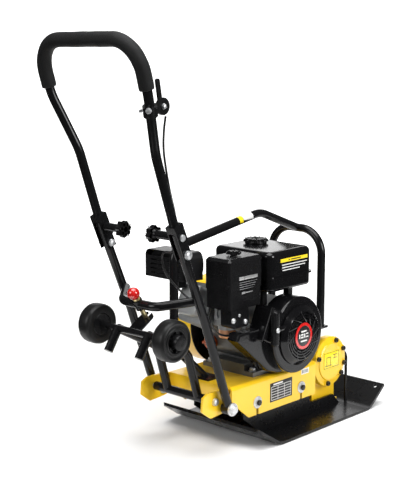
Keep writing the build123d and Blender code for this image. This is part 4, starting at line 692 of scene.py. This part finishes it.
class COMPACTOR_OT_bolts(bpy.types.Operator):
    """Bolts and washers of deck, exciter, engine and handle"""

    bl_idname = "compactor.bolts"
    bl_label = "Bolts"

    def execute(self, context):
        self.deck()
        self.exciter()
        self.engine()
        self.handle()
        return {"FINISHED"}

    def deck(self):
        """Wide washers and dark hexagonal heads on the rubber buffers."""
        low, high, _ = place("rubber_buffers")
        radius = (high.z - low.z) / 2
        side = place("deck")[1].x
        plates, heads = bmesh.new(), bmesh.new()
        for direction in (RIGHT, LEFT):
            for y in (low.y + radius, high.y - radius):
                seat = facing(direction, (direction.x * side, y, (low.z + high.z) / 2))
                spun(plates, [(0, 0), (15.5, 0), (16, 0.6), (15.5, 1.6), (10, 2.4), (9.5, 4),
                              (0, 4)], seat)
                hex_head(heads, seat @ lift(BUFFER_HEAD_LIFT), *BUFFER_HEAD)
        finish_piece("buffer_washers", plates, "zinc", "machine", ("deck_bolts",))
        finish_piece("buffer_heads", heads, "print", "machine")

    def exciter(self):
        """Covers with a wide raised face, lugs and socket screws on both ends of the exciter."""
        low, high, middle = place("exciter_covers")
        face = high.x - EXCITER_BOSS_HEIGHT * MM
        radius = (high.z - low.z) / 2
        circle = radius - EXCITER_SCREW_INSET * MM
        rim, inner = radius / MM, high.x - EXCITER_COVER_DEPTH * MM
        covers = bmesh.new()
        for direction in (RIGHT, LEFT):
            seat = facing(direction, (direction.x * inner, middle.y, middle.z))
            spun(covers, [(0, 12), (0, 0), (rim, 0), (rim, 10), (rim - 0.6, 11.4), (rim - 2, 12),
                          (rim - 15, 12), (rim - 16.4, 12.6), (rim - 17.4, 15), (rim - 19, 16),
                          (0, 16)], seat, 96)
        finish_piece("exciter_shells", covers, "yellow", "machine",
                     ("exciter_covers",))
        lugs, screws = bmesh.new(), bmesh.new()
        for direction in (RIGHT, LEFT):
            for angle in EXCITER_SCREW_ANGLES:
                spot = Vector((direction.x * face, middle.y + circle * cos(radians(angle)),
                               middle.z + circle * sin(radians(angle))))
                seat = facing(direction, spot)
                spun(lugs, button(*EXCITER_LUG), seat, 32)
                spun(screws, [(0, 2), (6.3, 2), (6.6, 2.6), (6.6, 8.4), (5.8, 9.4), (3.8, 9.4),
                              (3.3, 9), (3.3, 5), (0, 5)], seat, 24)
        finish_piece("exciter_lugs", lugs, "yellow", "machine")
        finish_piece("exciter_screws", screws, "print", "machine")

    def engine(self):
        """Four foot bolts and three screws on the intake elbow."""
        low, high, _ = place("engine_bolts")
        bm = bmesh.new()
        floor = place("crankcase")[0].z + FOOT_HEIGHT * MM
        for x in [low.x + step * MM for step in FOOT_BOLT_X]:
            for y in (low.y + FOOT_BOLT_Y[0] * MM, high.y + FOOT_BOLT_Y[1] * MM):
                seat = facing(UP, (x, y, floor))
                spun(bm, ring(*FOOT_WASHER), seat, 32)
                hex_head(bm, seat @ lift(FOOT_WASHER[2]), *FOOT_HEAD)
        side = place("air_cleaner_base")[1].x
        for y, z, radius in ELBOW_SCREWS:
            spun(bm, dome(radius, 0.75 * radius, 1.5), facing(RIGHT, (side, y * MM, z * MM)), 24)
        finish_piece("engine_screws", bm, "zinc", "machine", ("engine_bolts",))

    def handle(self):
        """Domed caps over the handle's pivots, its fold bolts and the carriage's pins."""
        caps = bmesh.new()
        outside = place("handle_bolts")[1].x - PIVOT_STACK * MM
        base = pivot("carriage_swing")
        for direction in (RIGHT, LEFT):
            seat = facing(direction, (direction.x * outside, PIVOT[0] * MM, PIVOT[1] * MM))
            spun(caps, [(0, 0), (16.4, 0), (16.4, 3), (15, 4.6), (13.5, 4.6), (13, 4.2), (11.5, 4.2),
                        (11, 5), (10.6, 9.6), (9, 11), (0, 11.6)], seat)
            seat = facing(direction, (direction.x * CARRIAGE_PIN_X * MM, base.y, base.z))
            spun(caps, dome(*CARRIAGE_CAP), seat, 32)
        finish_piece("pivot_caps", caps, "zinc", "machine")
        folds = bmesh.new()
        for direction in (RIGHT, LEFT):
            seat = facing(direction, pivot("handle_fold", direction.x * FOLD_OUTER_X * MM))
            spun(folds, dome(*FOLD_OUTER_CAP), seat, 32)
            seat = facing(-direction, pivot("handle_fold", direction.x * FOLD_INNER_X * MM))
            spun(folds, dome(*FOLD_INNER_CAP), seat, 32)
        finish_piece("fold_caps", folds, "zinc", "machine")


class COMPACTOR_OT_wheels(bpy.types.Operator):
    """Solid rubber tyres with stepped side walls on plastic hubs with flat caps"""

    bl_idname = "compactor.wheels"
    bl_label = "Wheels"

    def execute(self, context):
        for side, direction in (("right", RIGHT), ("left", LEFT)):
            low, high, middle = place("tyre_" + side)
            inner = min(abs(low.x), abs(high.x))
            seat = facing(direction, (direction.x * inner, middle.y, middle.z))
            bm = bmesh.new()
            spun(bm, [(28, 1.5), (39, 0), (45, 1.5), (48, 5), (49, 11), (49, 28), (48, 34),
                      (45.5, 37.5), (42.5, 38.8), (40.5, 38), (39.5, 35.6), (36, 35), (33, 35.6),
                      (31.5, 37.6), (28, 37.6), (28, 1.5)], seat, 72)
            finish_piece("wheel_tyre_" + side, bm, "rubber", "wheel_" + side,
                         ("tyre_" + side,))
            bm = bmesh.new()
            spun(bm, [(0, 47), (8.05, 47), (8.05, 1), (26, 1), (27.9, 3), (27.9, 36.5), (27, 37.4),
                      (25.6, 37), (24.6, 30), (19.4, 30), (18.8, 36), (18.4, 49), (17.4, 51.4),
                      (15.4, 52), (5, 51.6), (0, 51.5)], seat, 64)
            for spoke in range(HUB_SPOKES):
                turn = Matrix.Rotation(2 * pi * spoke / HUB_SPOKES, 4, "Z")
                slab(bm, (19, -1.5, 29), (25.4, 1.5, 36), 0.4, seat @ turn)
            finish_piece("wheel_hub_" + side, bm, "plastic", "wheel_" + side,
                         ("hub_" + side,))
        return {"FINISHED"}


class COMPACTOR_OT_knobs(bpy.types.Operator):
    """Lobed knob on the air cleaner, tank cap and star knobs of the handle"""

    bl_idname = "compactor.knobs"
    bl_label = "Knobs"

    def execute(self, context):
        low, _, middle = place("wing_nut")
        bm = bmesh.new()
        seat = facing(UP, (middle.x, middle.y, low.z))
        spun(bm, button(9, 4, 1), seat, 32)
        lobed(bm, 20, 7, 6, 8, seat @ lift(3))
        finish_piece("cleaner_knob", bm, "plastic", "wing_nut", ("wing_nut",), 40)
        low, _, middle = place("fuel_cap")
        bm = bmesh.new()
        seat = facing(UP, (middle.x, middle.y, low.z))
        spun(bm, ring(29, 24.2, 6, 0.8), seat, 64)
        lobed(bm, 33, 6, 8, 8.5, seat @ lift(4))
        finish_piece("tank_cap", bm, "plastic", "fuel_cap", ("fuel_cap",), 40)
        for side, direction in (("right", RIGHT), ("left", LEFT)):
            low, high, _ = place("knob_" + side)
            head = min(abs(low.x), abs(high.x))
            centre = pivot("knob_" + side + "_turn", direction.x * head)
            end = (max(abs(low.x), abs(high.x)) - head) / MM
            seat = facing(direction, centre)
            bm = bmesh.new()
            lobed(bm, 21, 5, 7, STAR_KNOB_DEPTH,
                  facing(-direction, centre + direction * STAR_KNOB_DEPTH * MM))
            spun(bm, [(0, 16), (13, 16), (11, 19), (10.4, 22.8), (0, 22.8)], seat, 32)
            finish_piece("star_knob_" + side, bm, "plastic", "knob_" + side,
                         ("knob_" + side,), 40)
            bm = bmesh.new()
            spun(bm, [(0, 22), (3.9, 22), (3.9, end - 4.5), (8, end - 4.5), (8, end - 1), (7, end),
                      (0, end)], seat, 24)
            finish_piece("knob_screw_" + side, bm, "zinc", "knob_" + side)
        return {"FINISHED"}


class COMPACTOR_OT_controls(bpy.types.Operator):
    """Screws of the throttle clamp, its lever and the starter grip"""

    bl_idname = "compactor.controls"
    bl_label = "Controls"

    def execute(self, context):
        lever = pivot("throttle_turn")
        clamp = lever + Vector(CLAMP_OFFSET) * MM
        bm = bmesh.new()
        for direction in map(Vector, CLAMP_DIRECTIONS):
            seat = facing(direction, clamp + direction * CLAMP_SCREW_REACH * MM)
            spun(bm, [(0, -9), (3, -9), (3, 0), (6.4, 0), (6.4, 1), (6, 1.4), (0, 1.4)], seat, 24)
            hex_head(bm, seat @ lift(1.2), 5, 4.5)
        finish_piece("clamp_screws", bm, "zinc", "upper_handle")
        bm = bmesh.new()
        face = place("throttle_lever")[1].x - LEVER_FACE_INSET * MM
        spun(bm, dome(*SCREW_DOME), facing(RIGHT, (face, lever.y, lever.z)), 24)
        finish_piece("lever_screw", bm, "zinc", "throttle_lever")
        bm = bmesh.new()
        low, high, _ = place("starter_grip")
        seat = facing(RIGHT, (high.x - GRIP_RIVET_SINK * MM, low.y + GRIP_RIVET_Y * MM,
                              GRIP_RIVET_Z * MM))
        spun(bm, dome(*GRIP_RIVET), seat, 32)
        finish_piece("grip_rivet", bm, "zinc", "starter_grip")
        return {"FINISHED"}


class COMPACTOR_OT_sleeve(bpy.types.Operator):
    """Foam sleeve of the hand grip, with rounded ends and a slightly uneven skin"""

    bl_idname = "compactor.sleeve"
    bl_label = "Foam sleeve"

    def execute(self, context):
        values = context.scene.compactor_sleeve
        source = bpy.data.objects.new("sleeve_source", NODES["foam_grip"].data.copy())
        context.scene.collection.objects.link(source)
        remesh = source.modifiers.new("voxels", "REMESH")
        remesh.mode = "VOXEL"
        remesh.voxel_size = values.voxel
        smooth = source.modifiers.new("smooth", "SMOOTH")
        smooth.factor = 0.5
        smooth.iterations = values.smoothing
        result = source.evaluated_get(context.evaluated_depsgraph_get())
        mesh = bpy.data.meshes.new_from_object(result)
        bpy.data.objects.remove(source)
        bm = bmesh.new()
        bm.from_mesh(mesh)
        bpy.data.meshes.remove(mesh)
        bmesh.ops.recalc_face_normals(bm, faces=bm.faces)
        for vert in bm.verts:
            wave = values.wave * noise.noise(vert.co * values.frequency)
            vert.co += vert.normal * (values.swell + wave)
        sleeve = finish_piece("foam_sleeve", bm, "foam", "upper_handle",
                              ("foam_grip",), 60)
        return {"FINISHED"}


class COMPACTOR_OT_latch(bpy.types.Operator):
    """Ferrule and nut on the latch pin under its red ball"""

    bl_idname = "compactor.latch"
    bl_label = "Latch"

    def execute(self, context):
        ball_low, ball_high, ball = place("latch_ball")
        along = -Vector(JOINTS["latch_pull"]["axis"]).normalized()
        radius = (ball_high.x - ball_low.x) / 2
        seat = facing(along, ball + along * radius * FERRULE_OVERLAP)
        bm = bmesh.new()
        spun(bm, [(0, 0), (8.5, 0), (8.5, 2.4), (7.6, 3.4), (7.6, 5), (0, 5)], seat, 32)
        hex_head(bm, seat @ lift(4.6), *FERRULE_NUT)
        finish_piece("latch_ferrule", bm, "yellow_zinc", "latch")
        return {"FINISHED"}


class COMPACTOR_OT_trim(bpy.types.Operator):
    """Sticker over the lifting bar's upper half, and the bent rod in front of the exciter"""

    bl_idname = "compactor.trim"
    bl_label = "Trim"

    def execute(self, context):
        peak = Vector(BAR_PEAK) * MM
        along = (Vector(BAR_REAR) * MM - peak).normalized()
        for name, start, length, finish in (("bar_sticker", 40, 38, "white"),
                                            ("bar_sticker_edge", 79, 13, "sign")):
            bm = bmesh.new()
            spun(bm, [(BAR_RADIUS, 0), (FOIL_RADIUS, 0.2), (FOIL_RADIUS, length - 0.2),
                      (BAR_RADIUS, length), (BAR_RADIUS, 0)], Matrix.Identity(4))
            seat = facing(along, peak + along * start * MM)
            up = seat.to_3x3().inverted() @ Vector((0.5, 0, 1))
            bmesh.ops.bisect_plane(bm, geom=bm.verts[:] + bm.edges[:] + bm.faces[:],
                                   plane_co=(0, 0, 0), plane_no=up, clear_inner=True)
            bmesh.ops.transform(bm, matrix=seat, verts=bm.verts)
            finish_piece(name, bm, finish, "machine")
        self.front_rod()
        return {"FINISHED"}

    def front_rod(self):
        """Thin rod that stands on the plate in front of the exciter, bent over at both sides."""
        reach = place("exciter_housing")[1].y + ROD_GAP * MM
        route = bpy.data.curves.new("front_rod", "CURVE")
        route.dimensions = "3D"
        route.bevel_depth = ROD_RADIUS * MM
        route.bevel_resolution = 4
        route.use_fill_caps = True
        half = [(ROD_HALF_WIDTH, ROD_FOOT), (ROD_HALF_WIDTH, 60), (ROD_HALF_WIDTH, 110),
                (ROD_HALF_WIDTH, ROD_TOP), (60, ROD_TOP)]
        points = half + [(0, ROD_TOP)] + [(-x, z) for x, z in reversed(half)]
        spline = route.splines.new("NURBS")
        spline.points.add(len(points) - 1)
        for point, (x, z) in zip(spline.points, points):
            point.co = (x * MM, reach, z * MM, 1.0)
        spline.order_u = 3
        spline.use_endpoint_u = True
        rod = bpy.data.objects.new("front_rod", route)
        bpy.context.scene.collection.objects.link(rod)
        route.materials.append(FINISHES["black"].material)
        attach(rod, "machine")


class COMPACTOR_OT_stage(bpy.types.Operator):
    """Set up the paper cove, the lamps and the camera"""

    bl_idname = "compactor.stage"
    bl_label = "Stage"

    def execute(self, context):
        values = context.scene.compactor_studio
        self.cove(values)
        self.lamps(values)
        self.camera(context, values)
        return {"FINISHED"}

    def cove(self, values):
        """Paper that lies flat under the machine and sweeps up into a wall behind it."""
        bm = bmesh.new()
        edge = bm.edges.new([bm.verts.new((side * values.cove_near / 2, -values.cove_front, 0))
                             for side in (-1, 1)])
        edge = self.draw_out(bm, edge, (0, values.cove_front + values.cove_back, 0))
        for vert in edge.verts:
            vert.co.x *= values.cove_width / values.cove_near
        bmesh.ops.spin(bm, geom=[edge, *edge.verts], cent=(0, values.cove_back, values.cove_sweep),
                       axis=(1, 0, 0), angle=pi / 2, steps=16)
        top = max(bm.edges, key=lambda item: sum(vert.co.z for vert in item.verts))
        self.draw_out(bm, top, (0, 0, values.cove_width))
        bmesh.ops.recalc_face_normals(bm, faces=bm.faces)
        bmesh.ops.rotate(bm, verts=bm.verts, cent=(0, 0, 0),
                         matrix=Matrix.Rotation(radians(values.azimuth), 3, "Z"))
        mesh = bpy.data.meshes.new("studio_cove")
        bm.to_mesh(mesh)
        bm.free()
        mesh.shade_smooth()
        cove = bpy.data.objects.new("studio_cove", mesh)
        bpy.context.scene.collection.objects.link(cove)
        paper = Finish("studio_paper", Base_Color=(0.9, 0.9, 0.9), Roughness=0.7,
                       Specular_IOR_Level=0.2, Emission_Strength=values.paper_glow)
        away = paper.add("VectorMath", {"operation": "LENGTH"}, out="Value",
                         i0=paper.coordinates())
        paper.set("Emission_Color", paper.add("MapRange", Value=away, From_Min=values.glow_start,
                                              From_Max=values.glow_end))
        mesh.materials.append(paper.material)

    def draw_out(self, bm, edge, vector):
        """Extrude an edge by a vector and return its far edge."""
        made = bmesh.ops.extrude_edge_only(bm, edges=[edge])["geom"]
        ends = [item for item in made if isinstance(item, bmesh.types.BMVert)]
        bmesh.ops.translate(bm, verts=ends, vec=vector)
        return bm.edges.get(ends)

    def lamps(self, values):
        """One large lamp overhead and one towards each near side of the machine."""
        aim = Vector((0, -0.15, 0.4))
        for name, spot, size, power in (
            ("key_lamp", (0.3, -0.5, 3.4), 3.0, values.key_power),
            ("right_lamp", (3.4, 0.3, 1.7), 1.6, values.right_power),
            ("rear_lamp", (-0.9, -3.4, 1.6), 1.6, values.rear_power),
        ):
            data = bpy.data.lights.new(name, "AREA")
            data.size = size
            data.energy = power
            lamp = bpy.data.objects.new(name, data)
            lamp.matrix_world = facing(Vector(spot) - aim, spot)
            bpy.context.scene.collection.objects.link(lamp)
        world = bpy.data.worlds.new("studio_world")
        world.use_nodes = True
        background = world.node_tree.nodes["Background"]
        background.inputs["Color"].default_value = (1.0, 1.0, 1.0, 1.0)
        background.inputs["Strength"].default_value = values.ambience
        bpy.context.scene.world = world

    def camera(self, context, values):
        """The camera looks down the solved direction from its solved place."""
        data = bpy.data.cameras.new("camera")
        data.sensor_width = 36.0
        data.lens = values.lens
        camera = bpy.data.objects.new("camera", data)
        azimuth, pitch = radians(values.azimuth), radians(values.pitch)
        turn = Matrix.Rotation(azimuth, 4, "Z") @ Matrix.Rotation(pi / 2 - pitch, 4, "X")
        camera.matrix_world = Matrix.Translation(values.eye) @ turn
        context.scene.collection.objects.link(camera)
        context.scene.camera = camera
        context.scene.view_settings.view_transform = "Standard"


class COMPACTOR_PT_panel(bpy.types.Panel):
    """Lists the machine's settings and the steps that build it"""

    bl_idname = "COMPACTOR_PT_panel"
    bl_label = "Compactor"
    bl_space_type = "VIEW_3D"
    bl_region_type = "UI"
    bl_category = "Compactor"

    def draw(self, context):
        scene = context.scene
        for group in (scene.compactor_finish, scene.compactor_engine, scene.compactor_sleeve,
                      scene.compactor_studio):
            for key in group.bl_rna.properties.keys():
                if key not in {"rna_type", "name"}:
                    self.layout.prop(group, key)
        for step in STEPS:
            self.layout.operator(step.bl_idname)


STEPS = (
    COMPACTOR_OT_finishes,
    COMPACTOR_OT_stage,
    COMPACTOR_OT_recoil,
    COMPACTOR_OT_badge,
    COMPACTOR_OT_plates,
    COMPACTOR_OT_bolts,
    COMPACTOR_OT_wheels,
    COMPACTOR_OT_knobs,
    COMPACTOR_OT_controls,
    COMPACTOR_OT_sleeve,
    COMPACTOR_OT_latch,
    COMPACTOR_OT_trim,
)
CLASSES = (CompactorFinishSettings, CompactorEngineSettings, CompactorSleeveSettings,
           CompactorStudioSettings, *STEPS, COMPACTOR_PT_panel)


def register():
    for item in CLASSES:
        bpy.utils.register_class(item)
    bpy.types.Scene.compactor_finish = PointerProperty(type=CompactorFinishSettings)
    bpy.types.Scene.compactor_engine = PointerProperty(type=CompactorEngineSettings)
    bpy.types.Scene.compactor_sleeve = PointerProperty(type=CompactorSleeveSettings)
    bpy.types.Scene.compactor_studio = PointerProperty(type=CompactorStudioSettings)


def unregister():
    del bpy.types.Scene.compactor_studio
    del bpy.types.Scene.compactor_sleeve
    del bpy.types.Scene.compactor_engine
    del bpy.types.Scene.compactor_finish
    for item in reversed(CLASSES):
        bpy.utils.unregister_class(item)


def main():
    """Build everything in order."""
    register()
    for step in STEPS:
        group, name = step.bl_idname.split(".")
        getattr(getattr(bpy.ops, group), name)()


if __name__ == "__main__":
    main()
